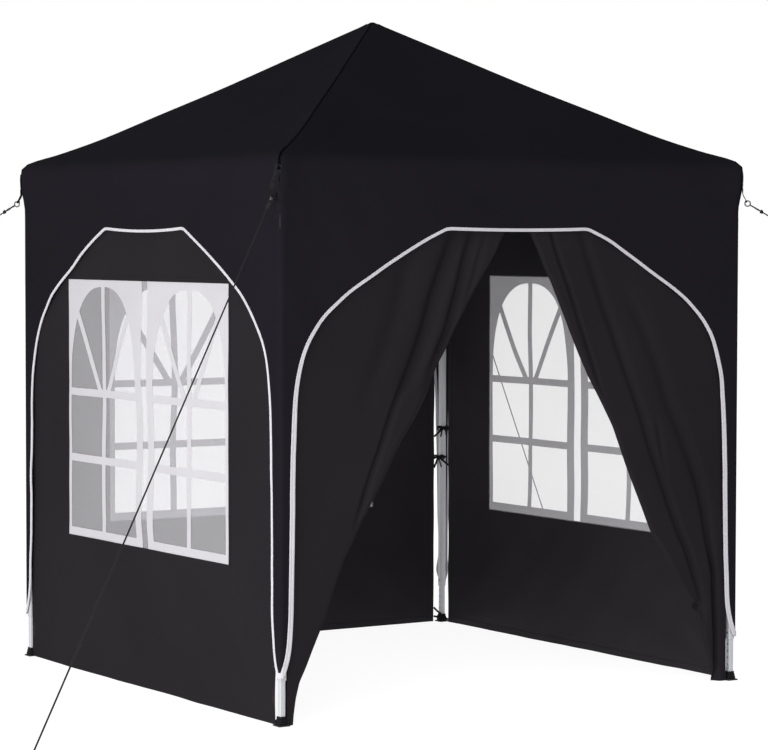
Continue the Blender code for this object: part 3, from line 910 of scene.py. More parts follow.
def spread_tree(kind):
    """A small shape at even spots of a line, turned along it, or on points that say which way they face."""
    sizes, shape, shape_inputs, scaled_by, spacing = SPREADS[kind]
    made = Tree(kind, [(size, "NodeSocketFloat") for size in sizes] + [("Material", "NodeSocketMaterial")])
    entry = made.entry.outputs
    if spacing:
        line = made.node("GeometryNodeMeshToCurve", {"Mesh": entry["Geometry"]})
        spots = made.node("GeometryNodeResampleCurve", {
            "Curve": line.outputs["Curve"], "Length": entry[spacing]}, mode="LENGTH").outputs["Curve"]
        way = made.node("GeometryNodeInputTangent").outputs["Tangent"]
    else:
        spots = made.node("GeometryNodeMeshToPoints", {"Mesh": entry["Geometry"]}).outputs["Points"]
        way = made.node("GeometryNodeInputNamedAttribute", {"Name": "facing"},
                        data_type="FLOAT_VECTOR").outputs["Attribute"]
    turn = made.node("FunctionNodeAlignRotationToVector", {"Vector": way}, axis="Z")
    small = made.node(shape, shape_inputs)
    size = made.node("ShaderNodeCombineXYZ", {axis: entry[label] for axis, label in zip("XYZ", scaled_by)})
    copies = made.node("GeometryNodeInstanceOnPoints", {
        "Points": spots, "Instance": small.outputs["Mesh"], "Rotation": turn.outputs["Rotation"],
        "Scale": size.outputs["Vector"]})
    return made.close(copies.outputs["Instances"])


def spread(kind, name, source, finish, **sizes):
    """A plain mesh piece from a tree run on a source mesh of points and edges."""
    tree = bpy.data.node_groups.get(kind) or spread_tree(kind)
    piece = put(name, source)
    step = piece.modifiers.new(kind, "NODES")
    step.node_group = tree
    values = {**sizes, "Material": finish}
    for item in tree.interface.items_tree:
        if item.item_type == "SOCKET" and item.in_out == "INPUT" and item.name in values:
            step[item.identifier] = values[item.name]
    plain(piece)
    piece.data.shade_smooth()
    return piece


def lines_mesh(name, lines):
    """A mesh of edges along several lines."""
    points = []
    edges = []
    for line in lines:
        first = len(points)
        points.extend(tuple(p) for p in np.asarray(line, float))
        edges.extend((i, i + 1) for i in range(first, len(points) - 1))
    mesh = bpy.data.meshes.new(name)
    mesh.from_pydata(points, edges, [])
    return mesh


def stitched(name, lines, finish, slot):
    """A piece of stitches along several lines."""
    sizes = bpy.context.scene.stitch_sizes
    piece = spread("Stitches", name, lines_mesh(name, lines), finish,
                   Spacing=sizes.spacing, Length=sizes.length, Thread=sizes.thread)
    return ride(piece, "tent", slot)


def studded(name, spots, finish, body, slot, radius, height):
    """A piece of domed heads on spots, each a place and the way it faces."""
    mesh = bpy.data.meshes.new(name)
    mesh.from_pydata([tuple(at) for at, _ in spots], [], [])
    facing = mesh.attributes.new("facing", "FLOAT_VECTOR", "POINT")
    facing.data.foreach_set("vector", np.array([way for _, way in spots], np.float32).ravel())
    piece = spread("Rivets", name, mesh, finish, Radius=radius, Height=height)
    return ride(piece, body, slot)


# Cover, its seams and its tape

PATTERN_STEP = 2.2        # how far apart the sides lie on the cloth's map, so that no two look the same


def across_side():
    """Stops along the top of a side, closer together where the cloth turns the corner."""
    flat = SKIN - CORNER_ROUND
    turn = np.linspace(flat, SIDE_END, 6)[1:]
    return np.concatenate([-turn[::-1], np.linspace(-flat, flat, 85), turn])


def skirt_grid(side, down=66, deep=13):
    """A hanging side as rows of points from its outer edge to the edge of the arch."""
    top = across_side()
    edge = beside(side, arch_path(side), -0.9)
    edge[:, 0] = np.clip(edge[:, 0], -SIDE_END, SIDE_END)
    shoulder = int(np.argmax(edge[:, 0] > -0.865))
    far = len(edge) - int(np.argmax(edge[::-1, 0] < 0.865))
    legs = 0.125 - 0.125 * np.cos(np.linspace(0, math.pi, down)) + 0.75 * np.linspace(0, 1, down)
    left = at_shares(resample(edge[:shoulder + 1], 400), legs)
    over = at_shares(resample(edge[shoulder:far], 800), (top + SIDE_END) / (2 * SIDE_END))
    right = at_shares(resample(edge[far - 1:][::-1], 400), legs)
    inner = np.vstack([left[:-1], over, right[::-1][1:]])
    outer_left = np.column_stack([np.full(down, -SIDE_END), STRIP_TIP + (EAVE_Z - STRIP_TIP) * legs])
    outer_top = np.column_stack([top, np.full(len(top), EAVE_Z)])
    outer = np.vstack([outer_left[:-1], outer_top, (outer_left[::-1] * (-1, 1))[1:]])
    share = np.linspace(0, 1, deep)[:, None, None]
    return outer[None] * (1 - share) + inner[None] * share


def build_cover():
    """The cover: four roof slopes and four arched hanging sides, sewn into one sheet."""
    look = finishes()
    top = across_side() / SIDE_END
    sheets = []
    for index, side in enumerate(TURNS):
        shift = PATTERN_STEP * index
        h, z = np.moveaxis(skirt_grid(side), -1, 0)
        sheets.append((side_points(side, h, z), (h + shift, ROOF_LENGTH[-1] + EAVE_Z - z)))
        slope = roof_points(side, top[None, :], np.linspace(0, 1, ROOF_ROWS)[:, None])
        slope[-1] = side_points(side, across_side(), EAVE_Z)
        sheets.append((slope, (ROOF_PROFILE[:, :1] * top[None, :] + shift, ROOF_LENGTH[:, None])))
    points, maps, faces, peak_edges = [], [], [], []
    first = 0
    for grid, across_and_down in sheets:
        rows, columns = grid.shape[:2]
        points.append(grid.reshape(-1, 3))
        maps.append(np.stack(np.broadcast_arrays(*across_and_down), axis=-1).reshape(-1, 2))
        faces += grid_faces(rows, columns, first)
        if rows == ROOF_ROWS:
            peak_edges += [(first + i, first + i + 1) for i in range(columns - 1)]
        first += rows * columns
    points.append([(0.0, 0.0, ROOF_PROFILE[0, 1])])
    maps.append([(0.0, 0.0)])
    faces += [(first, *edge) for edge in peak_edges]
    cover = add_piece("cover", np.vstack(points), faces, [look["cover"], look["cover_inside"]],
                      np.vstack(maps), sharp=180)
    weld(cover, 2e-5)
    thicken(cover, bpy.context.scene.cover_sizes.thickness, inner=1)
    ride(cover, "tent", "cover_cloth", *[side + part for part in ("_roof", "_skirt") for side in TURNS])


def corner_side(index, share):
    """The side before a corner or after it, and which of its ends the corner is."""
    return (list(TURNS)[index - 1], 1) if share < 0 else (list(TURNS)[index], -1)


def hip_point(index, share, lift, down):
    """A point beside a corner; down is 0 at the peak, 1 at the eave, and grows in metres below it."""
    side, end = corner_side(index, share)
    away = abs(share) * bpy.context.scene.cover_sizes.seam_width / 2
    if down > 1.0:
        return side_points(side, end * (SIDE_END - away), EAVE_Z - (down - 1.0), lift)
    row = 0.012 + 0.988 * down
    half = np.interp(row, np.linspace(0, 1, ROOF_ROWS), ROOF_PROFILE[:, 0])
    return roof_points(side, end * (1 - away / cloth_end(half, min(CORNER_ROUND, half * 0.5))), row, lift)


SEAM_SECTION = (          # across the seam in half widths, and height above the cloth
    (-1.0, 0.0001), (-0.9, 0.0012), (-0.45, 0.0017), (0.0, 0.0022), (0.45, 0.0017), (0.9, 0.0012),
    (1.0, 0.0001), (0.0, -0.0004),
)


def build_hip_seams():
    """A felled seam along each hip and down the corner to the strap, with two rows of stitches."""
    look = finishes()
    downs = np.concatenate([np.linspace(0, 1, 90), 1 + np.linspace(0.002, 0.012, 3)])
    lines = []
    for index, corner in enumerate(CORNERS):
        rows = [[hip_point(index, share, lift, down) for share, lift in SEAM_SECTION] for down in downs]
        # the seam strip is real, but its dark finish is painted shade along the hip
        ride(strip_piece("hip_seam_" + corner, rows, look["seam"]), "tent", "cover_cloth")
        lines += [[hip_point(index, share, 0.0016, down) for down in downs] for share in (-0.72, 0.72)]
    stitched("hip_stitches", lines, look["thread"], "cover_cloth")


TAPE_SECTION = (          # across the tape in half widths, and height above the cloth
    (-1.0, -0.0001), (-0.95, 0.0013), (-0.82, 0.0019), (-0.36, 0.0021), (-0.16, 0.0017), (0.0, 0.0009),
    (0.16, 0.0017), (0.36, 0.0021), (0.82, 0.0019), (0.95, 0.0013), (1.0, -0.0004), (0.94, -0.0022),
    (0.0, -0.0026), (-0.94, -0.0024),
)
TAPE_JOINTS = (0.285, 0.345, 0.655, 0.715)   # where lengths of tape meet, as shares of an arch


def build_tapes():
    """The pale tape round each arch, its stitches, and the patch where two tapes meet at a leg."""
    look = finishes()
    limit = SIDE_END - 0.0002
    lines = []
    for side in TURNS:
        path = arch_path(side)
        shares = np.linspace(0, 1, len(path))
        dents = sum(hump(shares, joint, 0.0012) for joint in TAPE_JOINTS)
        rows = []
        for share, lift in TAPE_SECTION:
            line = beside(side, path, share)
            height = lift - (0.0011 * dents if lift > 0 else 0.0)
            rows.append(side_points(side, np.clip(line[:, 0], -limit, limit), line[:, 1], height))
        tape = strip_piece(side + "_tape", np.stack(rows, axis=1), look["tape"])
        ride(tape, "tent", "edge_tape", side + "_arch_tape")
        lines += [side_points(side, *beside(side, path[3:-3], share).T, 0.0021) for share in (-0.68, 0.68)]
    stitched("tape_stitches", lines, look["pale_thread"], "edge_tape")
    build_tip_patches()


TIP_PATCH = ((0.183, 0.007), (0.179, 0.011), (0.174, 0.0120), (0.169, 0.012), (0.165, 0.0105))


def build_tip_patches():
    """A folded scrap of tape that closes the V between two tapes at the foot of each corner."""
    spread_out = np.linspace(-1, 1, 7)
    patches = []
    for index, corner in enumerate(CORNERS):
        rows = []
        for z, reach in TIP_PATCH:
            ring = []
            for lift, shares in ((0.0034, spread_out), (0.0004, spread_out[::-1])):
                for share in shares:
                    side, end = corner_side(index, share)
                    ring.append(side_points(side, end * (SIDE_END - abs(share) * reach), z, lift))
            rows.append(ring)
        patches.append(strip_piece("patch_" + corner, rows, finishes()["tape"]))
    ride(join_pieces("tape_tip_patches", patches), "tent", "edge_tape")


# Walls and windows

def wall_swell(side, h, z):
    """How far a wall stands out from its flat shape; it lies flatter beside the window."""
    sizes = bpy.context.scene.wall_sizes
    seed = 71 + TURNS[side]
    beyond = np.hypot(np.maximum(np.abs(h) - WINDOW_HALF, 0),
                      np.maximum(np.maximum(WINDOW_SILL - z, z - WINDOW_HEAD), 0))
    free = 0.35 + 0.65 * smoothstep(beyond / 0.18)
    hung = smoothstep((WALL_TOP - z) / 0.15)
    soft = waves(h, z, seed, 0.62, lean=0.25) + 0.4 * waves(h, z, seed + 1, 0.21, lean=0.4)
    from_end = np.where(h < 0, h + WALL_ENDS[side][0], WALL_ENDS[side][1] - h) + 1e-6
    corner = np.hypot(from_end, z - WALL_FOOT)
    drawn = np.cos(13.0 * np.arctan2(z, from_end)) * np.exp(-corner / 0.22) * corner / 0.2
    return (sizes.wave * soft * free - 0.0025 + 0.0035 * drawn) * hung


FOOT_PLATE = (0.9465, 0.0058)   # where a foot plate begins along a side, and what clears its top


def wall_points(side, h, z, lift=0.0):
    """Points on a wall, whose foot passes over a foot plate."""
    z = np.where(np.abs(h) > FOOT_PLATE[0], np.maximum(z, FOOT_PLATE[1]), z)
    return turned(side, h, WALL_D + wall_swell(side, h, z) + lift, z)


def wall_stops(side):
    """Stops across and down a wall, with the edges of the window among them."""
    before, after = (np.linspace(WINDOW_HALF, end, 13) for end in WALL_ENDS[side])
    across = np.concatenate([-before[::-1], np.linspace(-WINDOW_HALF, WINDOW_HALF, 47)[1:-1], after])
    down = np.concatenate([
        np.linspace(WALL_TOP, WINDOW_HEAD, 11), np.linspace(WINDOW_HEAD, WINDOW_SILL, 37)[1:],
        np.linspace(WINDOW_SILL, WALL_FOOT, 20)[1:]])
    return across, down


def ribbon(side, surface, lines, lift, finish, thickness):
    """A flat band that lies on a side's cloth between a pair of lines of h and z."""
    low, high = lines
    rows = []
    for share, height in ((0, lift), (0, lift + thickness), (0.5, lift + thickness * 1.15),
                          (1, lift + thickness), (1, lift), (0.5, lift)):
        rows.append(surface(side, *(low * (1 - share) + high * share).T, height))
    return strip_piece("band", np.stack(rows, axis=1), finish)


def straight(start, end, count=60):
    """Points of h and z along a straight line."""
    return np.linspace(start, end, count)


def window_loop(away=0.0):
    """A rectangle round the window's opening, as points of h and z, some way outside it."""
    w, low, high = WINDOW_HALF, WINDOW_SILL, WINDOW_HEAD
    loop = np.vstack([
        straight((-w, low), (w, low), 40), straight((w, low), (w, high), 30)[1:],
        straight((w, high), (-w, high), 40)[1:], straight((-w, high), (-w, low), 30)[1:]])
    middle = (low + high) / 2
    return loop * (1, 0) * (w + away) / w + (0, 1) * (middle + (loop - middle) * (1 + away / (high - middle)))


def wall_edges(side):
    """Where the stitching of a wall's two ends and of its foot may begin: h, h and z."""
    before, after = WALL_ENDS[side]
    return 0.0005 - before, after - 0.0005, WALL_FOOT + 0.0005


def wall_trim(side):
    """Hems along the foot and the ends of a wall, its webbing at the top, and the window's binding."""
    look = finishes()
    hem = bpy.context.scene.wall_sizes.hem
    first, end, foot = wall_edges(side)
    bands = []
    for start, stop, step in (((first, foot), (end, foot), (0, hem)),
                              ((first, foot), (first, WALL_TOP), (hem, 0)),
                              ((end - hem, foot), (end - hem, WALL_TOP), (hem, 0))):
        line = straight(start, stop)
        bands.append(ribbon(side, wall_points, (line, line + step), -0.0017, look["lining"], 0.0012))
    top = [straight((first, WALL_TOP - drop), (end, WALL_TOP - drop)) for drop in (0.044, 0.001)]
    bands.append(ribbon(side, wall_points, top, 0.0006, look["webbing"], 0.0030))
    bands.append(ribbon(side, wall_points, binding_lines(), 0.0006, look["wall"], 0.0007))
    return ride(join_pieces(side + "_wall_hems", bands), "tent", "wall_cloth")


def binding_lines(width=0.014):
    """The inner and the outer line of the flat binding round the window."""
    loop = window_loop()
    h, z = loop.T
    outer = loop.copy()
    outer[:, 0] += np.where(np.abs(h) > WINDOW_HALF - 1e-6, np.sign(h) * width, 0)
    outer[:, 1] += np.where(z < WINDOW_SILL + 1e-6, -width, np.where(z > WINDOW_HEAD - 1e-6, width, 0))
    return loop, outer


def wall_stitches(side, inset=0.004):
    """Two rows of stitches on each hem, and two round the window."""
    steps = (bpy.context.scene.wall_sizes.hem - inset, inset)
    first, end, foot = wall_edges(side)
    rows = [wall_points(side, *straight((first, foot + step), (end, foot + step), 120).T, 0.0006)
            for step in steps]
    for step in steps:
        for at in (first + step, end - step):
            rows.append(wall_points(side, *straight((at, foot), (at, WALL_TOP), 120).T, 0.0006))
    rows += [wall_points(side, *window_loop(away).T, 0.0015) for away in (0.0035, 0.0105)]
    return stitched(side + "_wall_stitches", rows, finishes()["thread"], "wall_cloth")


def build_walls():
    """Three hanging walls with their hems, the band that holds them, their stitches and windows."""
    sizes = bpy.context.scene.wall_sizes
    look = finishes()
    for index, side in enumerate(WALL_SIDES):
        across, down = wall_stops(side)
        h, z = np.meshgrid(across, down)
        middle_h = (across[:-1] + across[1:]) / 2
        middle_z = (down[:-1] + down[1:]) / 2
        cloth = ((np.abs(middle_h) > WINDOW_HALF)[None, :]
                 | ~((middle_z > WINDOW_SILL) & (middle_z < WINDOW_HEAD))[:, None])
        uv = np.stack([h + PATTERN_STEP * index, z], axis=-1)
        faces = [face for face, stays in zip(grid_faces(len(down), len(across)), cloth.ravel()) if stays]
        wall = add_piece(side + "_wall_cloth", wall_points(side, h, z, sizes.thickness / 2), faces,
                         [look["wall"], look["lining"]], uv, 180)
        drop_loose(wall)
        thicken(wall, sizes.thickness, inner=1)
        ride(wall, "tent", "wall_cloth", side + "_wall")
        trim = wall_trim(side)
        stitches = wall_stitches(side)
        build_window(side)


# Printed window, in the plane of the film
PANEL = (0.021, 0.620)    # inner and outer edge of one of the two printed panels
STILE = (0.046, 0.022)    # width of a panel's stile at the middle of the window, and at its edge
LIGHT_ROWS = (0.545, 0.797, 0.826, 1.048, 1.076)   # foot and head of two rows, and the arch's springing
ARCH_LIGHT_TOP = 1.462
ARCH_FULLNESS = 2.4       # 2 is an ellipse, more is fuller
FAN_ORIGIN = 1.019        # height at which the slanted bars would meet
FAN_ANGLE = math.radians(31.7)
FAN_BAR = 0.0128          # half width of a slanted bar
PRINT_STEP = 0.025        # length of the print's triangles


def arch_height(x, middle, half):
    """Height of the arched light above its springing, at a place across it."""
    share = np.clip(np.abs(x - middle) / half, 0, 1)
    return (ARCH_LIGHT_TOP - LIGHT_ROWS[4]) * (1 - share ** ARCH_FULLNESS) ** (1 / ARCH_FULLNESS)


def window_lights():
    """Outlines of the clear lights of the right-hand panel, as lists of h and z."""
    bar = bpy.context.scene.wall_sizes.bar / 2
    left, right = PANEL[0] + STILE[0], PANEL[1] - STILE[1]
    middle, half = (left + right) / 2, (right - left) / 2
    lights = []
    for low, high in (LIGHT_ROWS[:2], LIGHT_ROWS[2:4]):
        for start, end in ((left, middle - bar), (middle + bar, right)):
            lights.append([(start, low), (end, low), (end, high), (start, high)])
    spring = LIGHT_ROWS[4]
    slope = math.tan(FAN_ANGLE)
    spread = FAN_BAR / math.cos(FAN_ANGLE)
    x = half * np.sin(np.linspace(0, math.pi / 2, 160))
    rise = spring + arch_height(middle + x, middle, half)
    slant = (rise - FAN_ORIGIN) * slope
    foot = (spring - FAN_ORIGIN) * slope
    inner = [(bar, spring + 0.001)]
    if foot - spread > bar:
        inner.append((foot - spread, spring + 0.001))
    inner += [(a, b) for a, b, edge in zip(x, rise, slant - spread) if bar < a <= edge][::-1]
    inner.append((bar, spring + float(arch_height(middle + bar, middle, half))))
    outer = [(foot + spread, spring), (half, spring)]
    outer += [(a, b) for a, b, edge in zip(x, rise, slant + spread) if a >= edge and b > spring + 0.002][::-1]
    return lights + [[(middle + way * a, b) for a, b in shape] for shape in (inner, outer) for way in (1, -1)]


def inside_outline(points, outline):
    """Which points of h and z lie inside a closed outline."""
    outline = np.asarray(outline)
    inside = np.zeros(len(points), bool)
    x, z = points[:, 0], points[:, 1]
    for (ax, az), (bx, bz) in zip(outline, np.roll(outline, -1, axis=0)):
        crosses = (az > z) != (bz > z)
        at = (bx - ax) * (z - az) / (bz - az if bz != az else 1e-12) + ax
        inside ^= crosses & (x < at)
    return inside


def print_mesh():
    """The printed area of the right-hand panel as points of h and z, and triangles."""
    start, end = PANEL
    low, high = WINDOW_SILL - 0.001, WINDOW_HEAD + 0.001
    frame_line = [(start, low), (end, low), (end, high), (start, high)]
    lights = window_lights()
    points = []
    edges = []
    for outline in [frame_line] + lights:
        first = len(points)
        for a, b in zip(outline, outline[1:] + outline[:1]):
            steps = max(1, int(math.dist(a, b) / PRINT_STEP))
            points.extend((a[0] + (b[0] - a[0]) * i / steps, a[1] + (b[1] - a[1]) * i / steps)
                          for i in range(steps))
        edges.extend(zip(range(first, len(points)), [*range(first + 1, len(points)), first]))
    grid = np.array([(h, z) for h in np.arange(start + PRINT_STEP * 0.48, end, PRINT_STEP)
                     for z in np.arange(low + PRINT_STEP * 0.48, high, PRINT_STEP)])
    away = np.linalg.norm(grid[:, None, :] - np.array(points)[None, :, :], axis=2).min(axis=1)
    grid = grid[away >= PRINT_STEP * 0.36]
    for light in lights:
        grid = grid[~inside_outline(grid, light)]
    result = delaunay_2d_cdt([Vector(p) for p in points + list(map(tuple, grid))], edges, [], 0, 1e-7)
    flat = np.array([tuple(p) for p in result[0]])
    faces = [tuple(face) for face in result[2]]
    centres = np.array([flat[list(face)].mean(axis=0) for face in faces])
    printed = inside_outline(centres, frame_line)
    for light in lights:
        printed &= ~inside_outline(centres, light)
    return flat, [face for face, stays in zip(faces, printed) if stays]


def film_points(side, h, z, lift=0.0, drift=True):
    """Points on a window's film, which buckles a little and carries the print with it."""
    sizes = bpy.context.scene.wall_sizes
    seed = 5 + TURNS[side]
    h = np.asarray(h, float)
    z = np.asarray(z, float)
    from_edge = np.minimum(WINDOW_HALF - np.abs(h), np.minimum(z - WINDOW_SILL, WINDOW_HEAD - z))
    free = smoothstep((from_edge + 0.004) / 0.10)
    buckle = 0.0032 * waves(h, z, seed, 0.42, lean=0.3) * free
    if drift:
        h = h + sizes.film_wave * waves(h * 0.5, z, seed + 3, 0.55, lean=0.95) * free
    return turned(side, h, WALL_D - 0.0012 + wall_swell(side, h, z) + buckle + lift, z)


def build_window(side, over=0.003):
    """Clear film sewn behind the wall's opening, over its edge by a little, and the white print on it."""
    sizes = bpy.context.scene.wall_sizes
    look = finishes()
    h, z = np.meshgrid(np.linspace(-WINDOW_HALF - over, WINDOW_HALF + over, 64),
                       np.linspace(WINDOW_HEAD + over, WINDOW_SILL - over, 50))
    film = add_piece(side + "_window_film", film_points(side, h, z, drift=False),
                     grid_faces(50, 64), [look["film"]], np.stack([h, z], axis=-1), 180)
    thicken(film, sizes.film_thickness)
    ride(film, "tent", "clear_film", side + "_window")

    flat, faces = print_mesh()
    both = np.vstack([flat, flat * (-1, 1)])
    shapes = faces + [tuple(len(flat) + i for i in reversed(face)) for face in faces]
    printed = add_piece(side + "_window_print", film_points(side, both[:, 0], both[:, 1], 0.0012),
                        shapes, [look["print"]], both, 180)
    drop_loose(printed)
    thicken(printed, 0.0002)
    ride(printed, "tent", "clear_film")


# Door

def level(table, z):
    """The value of a table of heights and values at a height."""
    table = np.asarray(table, float)[::-1]
    return np.interp(z, table[:, 0], table[:, 1])


def door_row(sign, z):
    """One level of a door half, from the leg to its turned-back free edge, as distances and depths."""
    sizes = bpy.context.scene.door_sizes
    edge, rolls, folds = DOOR_SHAPES[sign]
    outer = DOOR_OUTER[sign]
    hung = smoothstep((WALL_TOP - z) / 0.07)
    roll = level(rolls, z)
    turn = sizes.edge_roll * (0.4 + 0.6 * smoothstep(z / 0.2))
    lean = math.atan(ROLL_DEPTH * 2)
    reach = level(edge, z) + turn * (1 - math.sin(lean)) - (LEFT_ROLL_OUT * roll if sign < 0 else 0.0)
    h = outer - (outer - reach) * (1 - (1 - np.linspace(0, 1, 400)) ** 1.5)
    out = 0.0020 * waves(h, np.full(400, z), 91 + sign, 0.5, lean=0.2) * hung
    for places, depths, widths in folds:
        width = 1.4 * level(widths, z)
        depth = sizes.fold_depth * level(depths, z) * hung
        dark_side = sign * (0.7 * width + 0.38 * depth)
        out = out - depth * hump(h, level(places, z) + dark_side, width)
    near = np.clip(1 - (h - reach) / roll, 0, 1)
    out = out - ROLL_DEPTH * roll * near ** 2
    visible = lengths(np.column_stack([h, out]))[-1]
    back = max(min(0.95 * (outer - reach) - turn, sizes.cloth_width - visible), 0.004)
    centre = np.array([h[-1] + turn * math.sin(lean), out[-1] - turn * math.cos(lean)])
    angle = np.linspace(lean, math.pi, DOOR_TURN + 1)[1:]
    curl = centre + turn * np.column_stack([-np.sin(angle), np.cos(angle)])
    run = np.linspace(0, back, 90)[1:]
    lowest = np.array([out[np.abs(h - centre[0] - at) < 0.012].min(initial=curl[-1, 1]) for at in run])
    gather = 0.0065 * (1 - np.cos(2 * math.pi * run / 0.058)) * smoothstep(run / 0.05) * hung
    free = np.minimum(curl[-1, 1], lowest - 0.003 * smoothstep(run / 0.02) * hung) - gather
    behind = np.column_stack([centre[0] + run, free])
    front = resample(np.column_stack([h, out]), DOOR_FRONT)
    return np.vstack([front, curl, resample(behind, DOOR_BACK)])


def door_grid(sign):
    """Every level of a door half: its heights, and rows of distance and depth."""
    if sign not in DOOR_GRIDS:
        heights = np.concatenate([np.linspace(WALL_TOP, 0.45, 74), np.linspace(0.45, WALL_FOOT, 40)[1:]])
        rows = np.array([door_row(sign, z) for z in heights])
        if sign > 0:
            place, depth, radius = DIMPLE
            away = np.hypot(rows[..., 0] - place, heights[:, None] - bpy.context.scene.door_sizes.tie_height)
            rows[..., 1] -= depth * hump(away, 0.0, radius)
        DOOR_GRIDS[sign] = heights, rows
    return DOOR_GRIDS[sign]


def door_points(sign, lift=0.0):
    """The points of a door half, level by level."""
    heights, rows = door_grid(sign)
    along = unit(np.gradient(rows, axis=1))
    h = rows[..., 0] + along[..., 1] * lift
    out = rows[..., 1] - along[..., 0] * lift
    return turned("front", sign * h, WALL_D + 0.0015 + out, np.broadcast_to(heights[:, None], h.shape))


def band_surface(side, h, z, lift=0.0):
    """The flat band from which the door hangs."""
    return turned(side, h, WALL_D + lift, z)


def build_door():
    """The two halves of the door, drawn aside in folds, with hems and half zips."""
    thickness = bpy.context.scene.wall_sizes.thickness
    cloth_width = bpy.context.scene.door_sizes.cloth_width
    look = finishes()
    for name, sign in (("left", -1), ("right", 1)):
        points = door_points(sign)
        rows, columns = points.shape[:2]
        s, z = np.meshgrid(np.linspace(0, 1, columns), door_grid(sign)[0])
        faces = [face[::-sign] for face in grid_faces(rows, columns)]
        half = add_piece(name + "_door_half", points, faces, [look["wall"], look["lining"]],
                         np.stack([s * cloth_width + 8.0 + sign, z], axis=-1), 180)
        thicken(half, thickness, inner=1)
        ride(half, "tent", "wall_cloth", name + "_curtain")

        edge = resample(points[:, -1], 200)
        inward = unit(resample(points[:, -4], 200) - edge)
        square = unit(np.cross(np.gradient(edge, axis=0), inward))
        section = [(-0.0045, 0.0008), (0.010, 0.0008), (0.010, -0.0008), (-0.0045, -0.0008)]
        tape = sweep(name + "_zip_tape", edge, section, inward, square, look["webbing"])
        teeth = spread("Zip teeth", name + "_zip_teeth", lines_mesh("teeth", [edge - inward * 0.0052]),
                       look["plastic"], Pitch=0.0030, Width=0.0032)
        band_lines = [straight((sign * 0.020, WALL_TOP - drop), (sign * DOOR_OUTER[sign], WALL_TOP - drop))
                      for drop in (0.044, 0.001)]
        band = ribbon("front", band_surface, band_lines, 0.0006, look["webbing"], 0.0030)
        band.name = name + "_door_band"
        for piece in (tape, teeth, band):
            ride(piece, "tent", "wall_cloth")
        proud = door_points(sign, 0.0005)
        lines = [proud[:, column] for column in (2, 5)] + [proud[-at, :] for at in (2, 5)]
        stitches = stitched(name + "_door_stitches", lines, look["thread"], "wall_cloth")


# Ties

BOW_LOOP = (              # points along the right-hand loop of a bow: to the side, out and up
    (0, 0.004, 0), (0.014, 0.010, 0.010), (0.030, 0.012, 0.010), (0.038, 0.010, -0.002),
    (0.028, 0.006, -0.012), (0.012, 0.004, -0.005), (0, 0.003, -0.001),
)
STRAP = (0.0085, 0.0016)  # width and thickness of a tie's webbing


def bow(at, out, finish, scale, seed):
    """A tied bow: two drooping loops, two tails and a knot; out is the way it faces."""
    draw = np.random.default_rng(seed)
    out = unit(np.asarray(out, float))
    side = np.cross(UP, out)
    width, thickness = np.array(STRAP) * scale

    def spot(x, y, z):
        jitter = draw.normal(0, 0.0012, 3)
        return at + (side * x + out * y + UP * z + jitter) * scale

    pieces = []
    for sign in (-1, 1):
        loop = [spot(sign * x, y, z) for x, y, z in BOW_LOOP]
        pieces.append(ribbon_path(loop, width, thickness, UP * 0.35 + out, finish))
        drop = 0.050 + draw.uniform(-0.012, 0.012)
        tail = [spot(0, 0.005, 0), spot(sign * 0.007, 0.012, -0.012), spot(sign * 0.013, 0.011, -0.6 * drop),
                spot(sign * (0.017 + draw.uniform(0, 0.008)), 0.009, -drop)]
        pieces.append(ribbon_path(tail, width, thickness, out, finish, count=16))
    knot = [at + (side * 0.0045 * math.cos(a) + UP * 0.0062 * math.sin(a) + out * 0.0070) * scale
            for a in np.linspace(0, 2 * math.pi, 14)]
    pieces.append(ribbon_path(knot[:-1] + [knot[0]], 0.010 * scale, 0.0055 * scale, out, finish, count=18))
    return pieces


def round_leg(corner, z, finish, half=0.0142, height=0.009, thickness=0.0016):
    """A ribbon drawn round a leg."""
    sx, sy = CORNERS[corner]
    angle = full_turn(40)
    x, y = (half * np.sign(part) * np.abs(part) ** 0.4 for part in (np.cos(angle), np.sin(angle)))
    outward = np.column_stack([x, y, np.zeros(40)])
    path = outward + (sx * LEG_AT, sy * LEG_AT, z)
    return sweep("round", path, oval(height, thickness, 8), UP, unit(outward), finish, closed=True)


